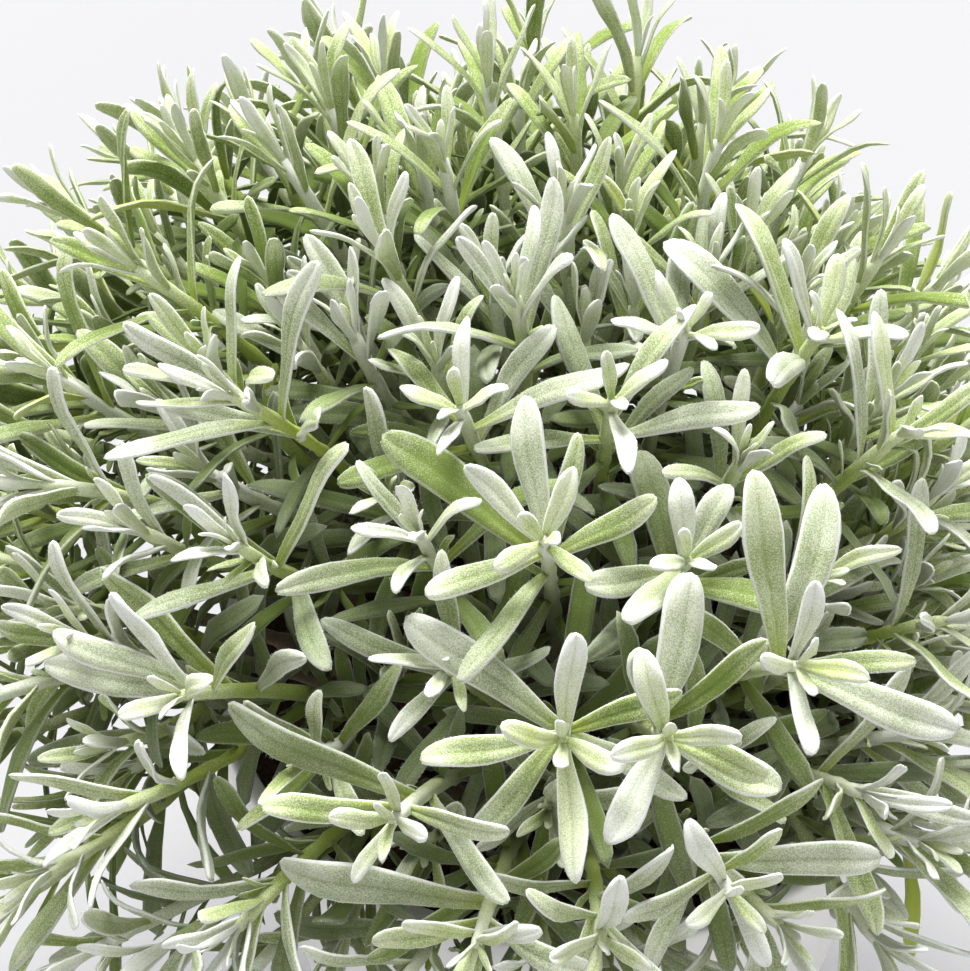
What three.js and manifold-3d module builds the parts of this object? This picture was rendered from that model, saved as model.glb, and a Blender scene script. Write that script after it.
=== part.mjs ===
// A potted woolly lavender: a plain round pot, the soil in it, and a bushy plant whose square stems
// stand in the soil and carry opposite pairs of narrow, felted leaves.
// Millimetres, +Z up. The origin is the centre of the pot's base, and -Y is the side that is looked at.
import * as THREE from "three";
import { mergeVertices } from "three/addons/utils/BufferGeometryUtils.js";
import Module from "manifold-3d";

const wasm = await Module();
wasm.setup();

const DEGREE = Math.PI / 180;
const UP = new THREE.Vector3(0, 0, 1);

// Pot
const POT_HEIGHT = 130;
const POT_RIM_RADIUS = 74;
const POT_FOOT_RADIUS = 52;
const POT_WALL = 1.8;
const POT_FLOOR = 2.4;
const RIM_BAND_HEIGHT = 13;
const RIM_BAND_PROUD = 2.2;
const RIM_BAND_TAPER = 0.6;
const RIM_BEVEL = 1;
const POT_SIDES = 32;
const DRAIN_HOLES = 6;
const DRAIN_HOLE_RADIUS = 4.5;
const DRAIN_HOLE_SIDES = 8;
const DRAIN_CIRCLE_RADIUS = 36;

// Soil
const SEAT_GAP = 0.3;
const SOIL_WALL_GAP = 0.5;
const SOIL_BELOW_RIM = 12;
const SOIL_CROWN = 2.5;
const SOIL_SHOULDER_RADIUS = 42;
const SOIL_SHOULDER_RISE = 2;
const SOIL_TOP = POT_HEIGHT - SOIL_BELOW_RIM;

// What grows keeps this far from the soil and from the rim's inside, outside and top.
const CLEAR_OF_SOIL = 4.5;
const CLEAR_INSIDE_RIM = 8;
const CLEAR_OUTSIDE_RIM = 5;
const CLEAR_OVER_RIM = 3;

// Stems. Stations are shares of a stem's length, from its foot.
const MAIN_STEMS = 50;
const SIDE_SHOOTS = 45;
const CLUMP_RADIUS = 38;
const STEM_BURIED = 6;
const FOOT_HALF = 1.5;
const SIDE_FOOT_HALF = 1.1;
const TIP_HALF = 0.85;
const FOOT_SPREAD_POWER = 0.9;
const MAIN_STATIONS = [0, 0.22, 0.42, 0.62];
const SIDE_STATIONS = [0.36, 0.64];
const STEM_REACH = 124;
const REACH_SPREAD = 6;
const FULLER_BEARING = 160;
const FULLER_REACH_EXTRA = 26;
const LOWEST_LEAN = 80;
const LEAST_STEM_BEND = 3;
const STEM_BEND_PER_LEAN = 0.24;
const SWEPT_BEARING = 190;
const SWEPT_STEM_BEND = 18;
const MAIN_SPACING = 16.2;
const SIDE_SPACING = 10.4;
const SIDE_REACH_LESS = 6;
const FORK_STATIONS = [0.42, 0.62];
const FORK_HALF_HEIGHT = 1.1;
const FORK_BEND = 16;
const FORK_CLEAR = 2.5;
const FORK_FIRST_SHARE = 0.04;
const FORK_LAST_SHARE = 0.3;
const FORK_SHARE_STEP = 0.02;
const STATION_GAP = 0.08;
const SHORTEST_SIDE_SHOOT = 32;
const LEAST_FORK_SLOPE = 0.42;
const CANDIDATES = 1400;
const GOLDEN_ANGLE = 137.508;
const BUD_LENGTH = 4;

// Leaves, in opposite pairs counted from the tip of a shoot
const LEAF_THICK = 1.1;
const LEAF_LEAST_HALF_WIDTH = 0.3;
const LEAF_HALF_WIDTH_PER_LENGTH = 0.066;
const WISHED_LEAF_BEND = 16;
const LEAST_LEAF_SPREAD = 13;
const LEAF_JITTER = { clock: 16, spread: 8, bend: 12, roll: 22, sway: 0.1, length: 0.14 };
const LEAF_STATIONS = [0, 0.38, 0.76, 1];
const LEAF_HALF_SHARES = [0.3, 0.8, 1, 0];
const NODE_HALF_HEIGHT = 0.8;
const LEAF_PAIRS = [
  { below: 3.5, length: 19, spread: 18, bend: 10 },
  { below: 8, length: 25, spread: 28, bend: 16 },
  { below: 14, length: 29, spread: 38, bend: 22 },
];
const CLEARANCE = 0.36;
const STEM_SLACK = 0.25;
const TRY_SCALES = [1, 0.88, 0.76, 0.64];
const TRY_SPREADS = [0, -8, 8, -16, 16];
const TRY_CLOCKS = [0, 12, -12, 24, -24, 36, -36];

const vector = (x, y, z) => new THREE.Vector3(x, y, z);
const compass = (bearing) => vector(Math.cos(bearing * DEGREE), Math.sin(bearing * DEGREE), 0);
const mix = (from, to, share) => from + (to - from) * share;

// A repeatable stream of numbers from 0 to 1.
function randomStream(seed) {
  let state = seed;
  return () => {
    state = (Math.imul(state, 1664525) + 1013904223) >>> 0;
    return state / 4294967296;
  };
}
const random = randomStream(20431);
const jitter = (spread) => (random() * 2 - 1) * spread;

// Where a shoot's tip lies, by its bearing, its lean from upright and its reach from the clump's middle.
function towards(bearing, lean) {
  const flat = compass(bearing).multiplyScalar(Math.sin(lean * DEGREE));
  return flat.addScaledVector(UP, Math.cos(lean * DEGREE));
}

// An arc from start to tip that sets off towards the bulge side and bends over by twice `bend` radians.
function arc(start, tip, bulge, bend) {
  const along = tip.clone().sub(start);
  const chord = along.length();
  along.divideScalar(chord);
  const side = bulge.clone().addScaledVector(along, -bulge.dot(along)).normalize();
  const across = along.clone().cross(side);
  const radius = chord / (2 * Math.sin(bend));
  const point = (share) => {
    const angle = bend * (2 * share - 1);
    return start
      .clone()
      .addScaledVector(along, radius * Math.sin(angle) + chord / 2)
      .addScaledVector(side, radius * (Math.cos(angle) - Math.cos(bend)));
  };
  const forward = (share) => {
    const angle = bend * (2 * share - 1);
    return along.clone().multiplyScalar(Math.cos(angle)).addScaledVector(side, -Math.sin(angle));
  };
  return { length: 2 * radius * bend, across, point, forward };
}

// An oriented box round one stretch of a stem or leaf, by which stretches are kept clear of each other.
function stretch(from, to, across, halfWidth, halfThick, owner) {
  const forward = to.clone().sub(from);
  const halfLength = forward.length() / 2;
  forward.divideScalar(halfLength * 2);
  const face = forward.clone().cross(across).normalize();
  const half = [halfLength + CLEARANCE, halfWidth + CLEARANCE, halfThick + CLEARANCE];
  return {
    centre: from.clone().add(to).multiplyScalar(0.5),
    axes: [forward, face.clone().cross(forward), face],
    half,
    radius: Math.hypot(...half),
    ...owner,
  };
}

// Whether two oriented boxes meet, by the fifteen separating directions.
function boxesMeet(a, b) {
  const gap = b.centre.clone().sub(a.centre);
  if (gap.length() > a.radius + b.radius) return false;
  const turn = a.axes.map((p) => b.axes.map((q) => p.dot(q)));
  const size = turn.map((row) => row.map((x) => Math.abs(x) + 1e-9));
  const offset = a.axes.map((p) => gap.dot(p));
  for (let i = 0; i < 3; i++) {
    const reach = b.half[0] * size[i][0] + b.half[1] * size[i][1] + b.half[2] * size[i][2];
    if (Math.abs(offset[i]) > a.half[i] + reach) return false;
  }
  for (let j = 0; j < 3; j++) {
    const reach = a.half[0] * size[0][j] + a.half[1] * size[1][j] + a.half[2] * size[2][j];
    const apart = offset[0] * turn[0][j] + offset[1] * turn[1][j] + offset[2] * turn[2][j];
    if (Math.abs(apart) > b.half[j] + reach) return false;
  }
  for (let i = 0; i < 3; i++) {
    const [i1, i2] = [(i + 1) % 3, (i + 2) % 3];
    for (let j = 0; j < 3; j++) {
      const [j1, j2] = [(j + 1) % 3, (j + 2) % 3];
      const reachA = a.half[i1] * size[i2][j] + a.half[i2] * size[i1][j];
      const reachB = b.half[j1] * size[i][j2] + b.half[j2] * size[i][j1];
      const apart = offset[i2] * turn[i1][j] - offset[i1] * turn[i2][j];
      if (Math.abs(apart) > reachA + reachB) return false;
    }
  }
  return true;
}

const placed = [];

// Neighbours in one plant stem may meet where they grow out of each other, and nowhere else.
function mayMeet(a, b) {
  if (a.stem !== b.stem) return false;
  if (a.shoot === b.shoot) return (a.root && b.root) || a.isStem || b.isStem;
  const fromParent = (side, parent) => side.root && parent.shoot === parent.stem;
  return a.isStem && b.isStem && (fromParent(a, b) || fromParent(b, a));
}

function isClear(boxes) {
  return boxes.every((mine) =>
    placed.every((other) => mayMeet(mine, other) || !boxesMeet(mine, other)),
  );
}

// Above the soil inside the rim, over the rim, or outside the wall.
function isClearOfPot(point) {
  const radius = Math.hypot(point.x, point.y);
  if (radius < POT_RIM_RADIUS - CLEAR_INSIDE_RIM) return point.z > SOIL_TOP + CLEAR_OF_SOIL;
  return radius > POT_RIM_RADIUS + CLEAR_OUTSIDE_RIM || point.z > POT_HEIGHT + CLEAR_OVER_RIM;
}

function stemHalf(shoot, share) {
  return mix(shoot.isMain ? FOOT_HALF : SIDE_FOOT_HALF, TIP_HALF, share);
}

// The direction out of a stem at a clock angle, which runs clockwise for someone who faces the tip.
function outOf(path, share, clock) {
  const top = path.across.clone().cross(path.forward(share));
  return top
    .multiplyScalar(Math.cos(clock * DEGREE))
    .addScaledVector(path.across, -Math.sin(clock * DEGREE));
}

// The clock angles of a square stem's four sides and corners; side k lies between corners k and k + 1.
const sideClock = (shoot, side) => shoot.clock - 90 * side;
const cornerClock = (shoot, corner) => shoot.clock + 45 - 90 * corner;

function stemCorner(shoot, share, corner) {
  const diagonal = stemHalf(shoot, share) * Math.SQRT2;
  const way = outOf(shoot.path, share, cornerClock(shoot, corner));
  return shoot.path.point(share).addScaledVector(way, diagonal);
}

const stemRing = (shoot, share) => [0, 1, 2, 3].map((corner) => stemCorner(shoot, share, corner));

function nearestSide(shoot, clock) {
  const away = (side) => Math.cos((clock - sideClock(shoot, side)) * DEGREE);
  return [0, 1, 2, 3].reduce((best, side) => (away(side) > away(best) ? side : best));
}

function stemBoxes(shoot) {
  const { path, stations } = shoot;
  const ends = [...stations.slice(1), 1];
  return ends.map((to, i) => {
    const from = i === 0 ? 0 : stations[i];
    const half = stemHalf(shoot, from) + STEM_SLACK;
    const owner = { stem: shoot.stem, shoot: shoot.index, isStem: true, root: i === 0 };
    return stretch(path.point(from), path.point(to), path.across, half, half, owner);
  });
}

// A leaf at a share of its length: the middle of its top and its across and face directions.
function leafFrame(leaf, share) {
  const turn = leaf.bend * share;
  const shrink = turn === 0 ? 1 : Math.sin(turn / 2) / (turn / 2);
  const reach = leaf.length * share * shrink;
  const chordAngle = leaf.spread + turn / 2;
  const angle = leaf.spread + turn;
  const level = leaf.axis.clone().cross(leaf.outward);
  const point = leaf.root
    .clone()
    .addScaledVector(leaf.axis, Math.cos(chordAngle) * reach)
    .addScaledVector(leaf.outward, Math.sin(chordAngle) * reach)
    .addScaledVector(level, leaf.sway * share * share * leaf.length);
  const upper = leaf.axis
    .clone()
    .multiplyScalar(Math.sin(angle))
    .addScaledVector(leaf.outward, -Math.cos(angle));
  const roll = leaf.roll * share;
  const across = level
    .clone()
    .multiplyScalar(Math.cos(roll))
    .addScaledVector(upper, Math.sin(roll));
  const face = upper.multiplyScalar(Math.cos(roll)).addScaledVector(level, -Math.sin(roll));
  return { point, across, face };
}

function leafBoxes(leaf) {
  const frames = LEAF_STATIONS.map((share) => leafFrame(leaf, share));
  const drop = -LEAF_THICK / 2;
  return frames.slice(1).map((to, i) => {
    const from = frames[i];
    const start = from.point.clone().addScaledVector(from.face, drop);
    const end = to.point.clone().addScaledVector(to.face, drop);
    const halfWidth = leaf.halfWidth * Math.max(LEAF_HALF_SHARES[i], LEAF_HALF_SHARES[i + 1]);
    const across = from.across.clone().add(to.across);
    const owner = { stem: leaf.stem, shoot: leaf.shoot, isStem: false, root: i === 0 };
    return stretch(start, end, across, halfWidth, -drop, owner);
  });
}

// Grows the leaf that is wished for, turned, tilted or shortened if it has to be to clear the others.
function placeLeaf(shoot, row, side, wish) {
  const { path } = shoot;
  const share = rowShare(shoot, row);
  for (const scale of TRY_SCALES)
    for (const tilt of TRY_SPREADS)
      for (const turn of TRY_CLOCKS) {
        const length = wish.length * scale;
        const leaf = {
          stem: shoot.stem,
          shoot: shoot.index,
          root: path.point(share),
          axis: path.forward(share),
          outward: outOf(path, share, wish.clock + turn),
          spread: Math.max(LEAST_LEAF_SPREAD, wish.spread + tilt) * DEGREE,
          bend: wish.bend * DEGREE,
          roll: wish.roll * DEGREE,
          sway: wish.sway,
          length,
          halfWidth: LEAF_LEAST_HALF_WIDTH + wish.broad * length,
        };
        const inOpen = LEAF_STATIONS.slice(1).every((s) => isClearOfPot(leafFrame(leaf, s).point));
        if (!inOpen) continue;
        const boxes = leafBoxes(leaf);
        if (!isClear(boxes)) continue;
        placed.push(...boxes);
        shoot.rows[row][side] = leaf;
        return;
      }
}

// The shoots that the front of the plant is known by: the bearing and lean of the tip from the clump's
// middle, its reach, how broad its leaves are for their length, and its leaves from the tip down, as clock
// angle, spread from the stem and length.
const FRONT_SHOOTS = [
  {
    bearing: -93,
    lean: 45,
    reach: 128,
    broad: 0.1,
    leaves: [
      [4, 50, 22],
      [172, 60, 25],
      [259, 70, 25],
      [305, 72, 34],
      [218, 66, 24],
      [80, 64, 22],
    ],
  },
  {
    bearing: -82,
    lean: 45,
    reach: 130,
    broad: 0.135,
    leaves: [
      [345, 50, 17],
      [217, 62, 21],
      [82, 66, 26],
      [322, 64, 19],
      [19, 68, 28],
      [122, 66, 24],
    ],
  },
  {
    bearing: -97,
    lean: 30,
    reach: 128,
    broad: 0.1,
    leaves: [
      [306, 50, 20],
      [130, 40, 14],
      [345, 62, 27],
      [240, 66, 23],
      [302, 74, 36],
      [60, 66, 22],
    ],
  },
  {
    bearing: -122,
    lean: 20,
    reach: 122,
    broad: 0.08,
    leaves: [
      [337, 40, 18],
      [160, 40, 16],
      [288, 60, 21],
      [57, 72, 31],
      [10, 56, 26],
      [220, 66, 26],
    ],
  },
  {
    bearing: -83,
    lean: 17,
    reach: 122,
    broad: 0.08,
    leaves: [
      [352, 42, 20],
      [178, 50, 20],
      [8, 50, 26],
      [321, 60, 28],
      [90, 66, 28],
      [250, 66, 26],
    ],
  },
  {
    bearing: -44,
    lean: 12,
    reach: 120,
    broad: 0.1,
    leaves: [
      [275, 50, 17],
      [156, 40, 16],
      [12, 50, 28],
      [48, 60, 24],
      [352, 56, 35],
      [328, 64, 38],
    ],
  },
  {
    bearing: -12,
    lean: 22,
    reach: 118,
    broad: 0.1,
    leaves: [
      [0, 30, 24],
      [180, 40, 18],
      [32, 48, 31],
      [290, 50, 24],
      [0, 56, 35],
      [100, 60, 30],
    ],
  },
  {
    bearing: -65,
    lean: 42,
    reach: 125,
    broad: 0.1,
    leaves: [
      [20, 40, 18],
      [200, 44, 18],
      [131, 62, 33],
      [326, 62, 36],
      [35, 58, 34],
      [60, 74, 38],
    ],
  },
  {
    bearing: -73,
    lean: 31,
    reach: 115,
    broad: 0.13,
    leaves: [
      [340, 40, 16],
      [215, 50, 19],
      [43, 56, 18],
      [280, 60, 20],
      [359, 56, 24],
      [120, 62, 22],
    ],
  },
  {
    bearing: -77,
    lean: 58,
    reach: 125,
    broad: 0.1,
    leaves: [
      [335, 50, 20],
      [160, 40, 16],
      [47, 50, 16],
      [260, 60, 20],
      [97, 72, 31],
      [48, 66, 29],
    ],
  },
  { bearing: -89, lean: 61, reach: 125, broad: 0.1, leaves: [[22, 54, 21]] },
  {
    bearing: -100,
    lean: 62,
    reach: 125,
    broad: 0.1,
    leaves: [
      [295, 44, 16],
      [54, 44, 16],
      [260, 56, 20],
      [100, 56, 22],
      [274, 76, 38],
    ],
  },
  {
    bearing: -109,
    lean: 53,
    reach: 128,
    broad: 0.09,
    leaves: [
      [352, 40, 14],
      [200, 40, 14],
      [262, 56, 25],
      [80, 50, 22],
      [284, 68, 37],
      [252, 70, 34],
    ],
  },
  {
    bearing: -134,
    lean: 51,
    reach: 130,
    broad: 0.08,
    leaves: [
      [311, 44, 24],
      [130, 40, 18],
      [265, 50, 30],
      [60, 54, 24],
      [246, 58, 37],
      [290, 56, 32],
    ],
  },
  { bearing: -26, lean: 32, reach: 120, broad: 0.09, leaves: [[38, 50, 24]] },
];

function angleBetween(a, b) {
  return Math.acos(Math.min(1, Math.max(-1, a.dot(b)))) / DEGREE;
}

// Evenly scattered directions over the dome, from upright down to the lowest lean.
function domeDirections() {
  const lowest = 1 - Math.cos(LOWEST_LEAN * DEGREE);
  return Array.from({ length: CANDIDATES }, (_, i) => {
    const lean = Math.acos(1 - (lowest * (i + 0.5)) / CANDIDATES) / DEGREE;
    const bearing = (i * GOLDEN_ANGLE) % 360;
    return { lean, bearing, way: towards(bearing, lean) };
  });
}

// The plant is fuller on one side, where its stems reach further.
function reachOf({ way }) {
  const extra = FULLER_REACH_EXTRA * way.dot(compass(FULLER_BEARING));
  return STEM_REACH + extra + jitter(REACH_SPREAD);
}

const crown = vector(0, 0, SOIL_TOP + SOIL_CROWN / 2);
const shoots = [];

const noLeaves = () => Array.from({ length: LEAF_PAIRS.length }, () => [null, null, null, null]);
const rowShare = (shoot, row) => 1 - LEAF_PAIRS[row].below / shoot.path.length;

// A stem that rises from its foot in the soil and arches outward, more so the more it leans, and more on the
// side that all the stems are swept towards.
function addMainStem({ bearing, lean, reach, broad, leaves: wishes }) {
  const outward = Math.pow(Math.sin(lean * DEGREE), FOOT_SPREAD_POWER);
  const foot = compass(bearing).multiplyScalar(CLUMP_RADIUS * outward);
  const way = towards(bearing, lean);
  const bulge = compass(bearing)
    .multiplyScalar(-Math.cos(lean * DEGREE))
    .addScaledVector(UP, Math.sin(lean * DEGREE));
  const swept = wishes ? 0 : SWEPT_STEM_BEND * Math.max(0, way.dot(compass(SWEPT_BEARING)));
  const bend = (LEAST_STEM_BEND + STEM_BEND_PER_LEAN * lean + swept) * DEGREE;
  const shoot = {
    index: shoots.length,
    stem: shoots.length,
    isMain: true,
    way,
    path: arc(crown.clone().add(foot), crown.clone().addScaledVector(way, reach), bulge, bend),
    clock: wishes ? wishes[0][0] : random() * 360,
    stations: MAIN_STATIONS,
    forks: [],
    rows: noLeaves(),
    broad,
    wishes,
  };
  shoots.push(shoot);
  placed.push(...stemBoxes(shoot));
}

// The first share of a side shoot at which it stands clear of its parent.
function firstClearShare(path, parent, station) {
  const [origin, forward] = [parent.path.point(station), parent.path.forward(station)];
  const clear = stemHalf(parent, station) + FORK_CLEAR;
  for (let share = FORK_FIRST_SHARE; share < FORK_LAST_SHARE; share += FORK_SHARE_STEP) {
    const off = path.point(share).sub(origin);
    if (off.addScaledVector(forward, -off.dot(forward)).length() > clear) return share;
  }
  return FORK_LAST_SHARE;
}

function forkWindow(fork, parent) {
  const gap = FORK_HALF_HEIGHT / parent.path.length;
  const [low, high] = [fork.station - gap, fork.station + gap];
  const next = (fork.side + 1) % 4;
  return [
    stemCorner(parent, low, fork.side),
    stemCorner(parent, low, next),
    stemCorner(parent, high, next),
    stemCorner(parent, high, fork.side),
  ];
}

// A shoot that leaves its parent at one of the parent's stations and bends up alongside it.
function addSideShoot(parent, way, reach) {
  const tip = crown.clone().addScaledVector(way, reach);
  for (const station of FORK_STATIONS) {
    const start = parent.path.point(station);
    const parentWay = parent.path.forward(station);
    const chord = tip.clone().sub(start);
    const away = chord.addScaledVector(parentWay, -chord.dot(parentWay));
    const path = arc(start, tip, away, FORK_BEND * DEGREE);
    const towardsClock =
      Math.atan2(-away.dot(parent.path.across), away.dot(outOf(parent.path, station, 0))) / DEGREE;
    const side = nearestSide(parent, towardsClock);
    const slope = path.forward(0).dot(outOf(parent.path, station, sideClock(parent, side)));
    if (path.length < SHORTEST_SIDE_SHOOT || slope < LEAST_FORK_SLOPE) continue;
    if (parent.forks.some((fork) => fork.station === station)) continue;
    const fork = { station, side };
    const window = forkWindow(fork, parent);
    const centre = window.reduce((sum, p) => sum.add(p), vector(0, 0, 0)).multiplyScalar(0.25);
    const first = firstClearShare(path, parent, station);
    const lowestPair = 1 - LEAF_PAIRS[LEAF_PAIRS.length - 1].below / path.length;
    const corner = window[0].clone().sub(centre);
    const cornerAt = Math.atan2(-corner.dot(path.across), corner.dot(outOf(path, first, 0))) / DEGREE;
    const shoot = {
      index: shoots.length,
      stem: parent.stem,
      isMain: false,
      way,
      path,
      clock: cornerAt - 45,
      stations: [first, ...SIDE_STATIONS.filter((share) => share < lowestPair - STATION_GAP)],
      forks: [],
      rows: noLeaves(),
    };
    const boxes = stemBoxes(shoot);
    if (!isClear(boxes)) continue;
    placed.push(...boxes);
    shoots.push(shoot);
    parent.forks.push({ ...fork, shoot });
    return;
  }
}

function growStems() {
  const directions = domeDirections();
  FRONT_SHOOTS.forEach(addMainStem);
  for (const direction of directions) {
    if (shoots.length === MAIN_STEMS) break;
    if (shoots.some((s) => angleBetween(s.way, direction.way) < MAIN_SPACING)) continue;
    addMainStem({ ...direction, reach: reachOf(direction) });
  }
  const mains = shoots.slice();
  for (const direction of directions) {
    if (shoots.length === mains.length + SIDE_SHOOTS) break;
    if (shoots.some((s) => angleBetween(s.way, direction.way) < SIDE_SPACING)) continue;
    const reach = reachOf(direction) - SIDE_REACH_LESS;
    const free = mains.filter((s) => s.forks.length < FORK_STATIONS.length);
    const away = free.map((s) => angleBetween(s.way, direction.way));
    const parent = free[away.indexOf(Math.min(...away))];
    addSideShoot(parent, direction.way, reach);
  }
}

// Opposite pairs, each a quarter turn round from the last.
function growPair(shoot, row) {
  const pair = LEAF_PAIRS[row];
  for (const side of [row % 2, (row % 2) + 2]) {
    const wish = {
      clock: sideClock(shoot, side) + jitter(LEAF_JITTER.clock),
      spread: pair.spread + jitter(LEAF_JITTER.spread),
      bend: pair.bend + jitter(LEAF_JITTER.bend),
      roll: jitter(LEAF_JITTER.roll),
      sway: jitter(LEAF_JITTER.sway),
      length: pair.length * (1 + jitter(LEAF_JITTER.length)),
      broad: LEAF_HALF_WIDTH_PER_LENGTH,
    };
    if (!shoot.wishes || row * 2 >= shoot.wishes.length) placeLeaf(shoot, row, side, wish);
  }
}

function growWish(shoot, [clock, spread, length], row) {
  const side = nearestSide(shoot, clock);
  const free = shoot.rows.findIndex((leaves, i) => i >= row && !leaves[side]);
  const bend = WISHED_LEAF_BEND;
  const wish = { clock, spread, length, bend, roll: 0, sway: 0, broad: shoot.broad };
  if (free >= 0) placeLeaf(shoot, free, side, wish);
}

function growLeaves() {
  for (const shoot of shoots.filter((s) => s.wishes))
    shoot.wishes.forEach((wish, i) => growWish(shoot, wish, Math.floor(i / 2)));
  for (let row = 0; row < LEAF_PAIRS.length; row++) for (const shoot of shoots) growPair(shoot, row);
}

// A closed skin that is grown ring by ring. A ring runs anticlockwise seen from where it is heading.
function newSkin() {
  const points = [];
  const faces = [];
  const ring = (corners) => corners.map((corner) => points.push(corner) - 1);
  const wall = (low, high, side) => {
    const next = (side + 1) % low.length;
    faces.push(low[side], low[next], high[next], low[side], high[next], high[side]);
  };
  const mirroredWall = (low, high, side) => {
    const next = (side + 1) % low.length;
    faces.push(low[side], low[next], high[side], low[next], high[next], high[side]);
  };
  const walls = (low, high) => low.forEach((_, side) => wall(low, high, side));
  const close = (last) => {
    for (let i = 1; i < last.length - 1; i++) faces.push(last[0], last[i], last[i + 1]);
  };
  const point = (last, tip) => {
    const [end] = ring([tip]);
    last.forEach((_, i) => faces.push(last[i], last[(i + 1) % last.length], end));
  };
  const triangle = (a, b, c) => faces.push(a, b, c);
  const geometry = () => new THREE.BufferGeometry().setFromPoints(points).setIndex(faces);
  return { ring, wall, mirroredWall, walls, close, point, triangle, geometry };
}

// A leaf grows from three corners of its node: its ridge below, and its right and left edges. Its upper
// and lower faces are split alike, so that a twisted blade keeps its thickness.
function growLeafSkin(skin, leaf, root) {
  let low = root;
  LEAF_STATIONS.slice(1, -1).forEach((share, i) => {
    const { point, across, face } = leafFrame(leaf, share);
    const half = leaf.halfWidth * LEAF_HALF_SHARES[i + 1];
    const high = skin.ring([
      point.clone().addScaledVector(face, -LEAF_THICK),
      point.clone().addScaledVector(across, half),
      point.clone().addScaledVector(across, -half),
    ]);
    skin.mirroredWall(low, high, 0);
    skin.wall(low, high, 1);
    skin.mirroredWall(low, high, 2);
    low = high;
  });
  const { point, face } = leafFrame(leaf, 1);
  skin.point(low, point.addScaledVector(face, -LEAF_THICK / 2));
}

// The places along a shoot where something leaves it, as half heights and what leaves each side.
function nodesOf(shoot) {
  const bare = shoot.stations.map((station) => {
    const fork = shoot.forks.find((f) => f.station === station);
    if (!fork) return { share: station, half: 0, sides: [] };
    const sides = [];
    sides[fork.side] = { shoot: fork.shoot };
    return { share: station, half: FORK_HALF_HEIGHT, sides };
  });
  const leafy = shoot.rows.map((leaves, row) => ({
    share: rowShare(shoot, row),
    half: NODE_HALF_HEIGHT,
    sides: leaves.map((leaf) => leaf && { leaf }),
  }));
  return [...bare, ...leafy.filter((node) => node.sides.some(Boolean)).reverse()];
}

function growShootSkin(skin, shoot, root) {
  let low = root;
  for (const { share, half, sides } of nodesOf(shoot)) {
    const gap = half / shoot.path.length;
    const bottom = skin.ring(stemRing(shoot, share - gap));
    skin.walls(low, bottom);
    low = bottom;
    if (half === 0) continue;
    const top = skin.ring(stemRing(shoot, share + gap));
    for (let side = 0; side < 4; side++) {
      const next = (side + 1) % 4;
      const grown = sides[side];
      if (!grown) skin.wall(bottom, top, side);
      else if (grown.shoot) {
        growShootSkin(skin, grown.shoot, [bottom[side], bottom[next], top[next], top[side]]);
      } else {
        skin.triangle(bottom[side], bottom[next], top[next]);
        growLeafSkin(skin, grown.leaf, [bottom[side], top[next], top[side]]);
      }
    }
    low = top;
  }
  const { path } = shoot;
  skin.point(low, path.point(1).addScaledVector(path.forward(1), BUD_LENGTH));
}

// One plant stem, with its side shoots and their leaves, is one body whose foot stands in the soil.
function plantStemGeometry(shoot) {
  const skin = newSkin();
  const foot = footRing(shoot, FOOT_HALF, -STEM_BURIED);
  const low = skin.ring(foot);
  skin.close(low.slice().reverse());
  growShootSkin(skin, shoot, low);
  return skin.geometry();
}

// A square ring round the straight, buried foot of a main stem.
function footRing(shoot, half, along) {
  const middle = shoot.path.point(0).addScaledVector(shoot.path.forward(0), along);
  return [0, 1, 2, 3].map((corner) => {
    const way = outOf(shoot.path, 0, cornerClock(shoot, corner));
    return middle.clone().addScaledVector(way, half * Math.SQRT2);
  });
}

function solidOf(geometry) {
  geometry.deleteAttribute("normal");
  geometry.deleteAttribute("uv");
  const merged = mergeVertices(geometry, 1e-4);
  return new wasm.Manifold(
    new wasm.Mesh({
      numProp: 3,
      vertProperties: new Float32Array(merged.attributes.position.array),
      triVerts: new Uint32Array(merged.index.array),
    }),
  );
}

function geometryOf(solid) {
  const mesh = solid.getMesh();
  const geometry = new THREE.BufferGeometry();
  geometry.setAttribute("position", new THREE.BufferAttribute(mesh.vertProperties, 3));
  geometry.setIndex(new THREE.BufferAttribute(mesh.triVerts, 1));
  return geometry;
}

function soilHole(shoot) {
  const half = FOOT_HALF + SEAT_GAP;
  const skin = newSkin();
  const low = skin.ring(footRing(shoot, half, -STEM_BURIED - SEAT_GAP));
  const high = skin.ring(footRing(shoot, half, STEM_BURIED));
  skin.close(low.slice().reverse());
  skin.walls(low, high);
  skin.close(high);
  return solidOf(skin.geometry());
}

function lathe(profile, sides) {
  const outline = profile.map(([radius, height]) => new THREE.Vector2(radius, height));
  return new THREE.LatheGeometry(outline, sides).rotateX(Math.PI / 2);
}

const potRadiusAt = (height) =>
  mix(POT_FOOT_RADIUS, POT_RIM_RADIUS - RIM_BAND_PROUD, height / POT_HEIGHT);

function drainHole(index) {
  const angle = (index * 2 * Math.PI) / DRAIN_HOLES;
  const hole = new THREE.CylinderGeometry(
    DRAIN_HOLE_RADIUS,
    DRAIN_HOLE_RADIUS,
    POT_FLOOR * 4,
    DRAIN_HOLE_SIDES,
  );
  hole.rotateX(Math.PI / 2);
  hole.translate(DRAIN_CIRCLE_RADIUS * Math.cos(angle), DRAIN_CIRCLE_RADIUS * Math.sin(angle), 0);
  return solidOf(hole);
}

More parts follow.
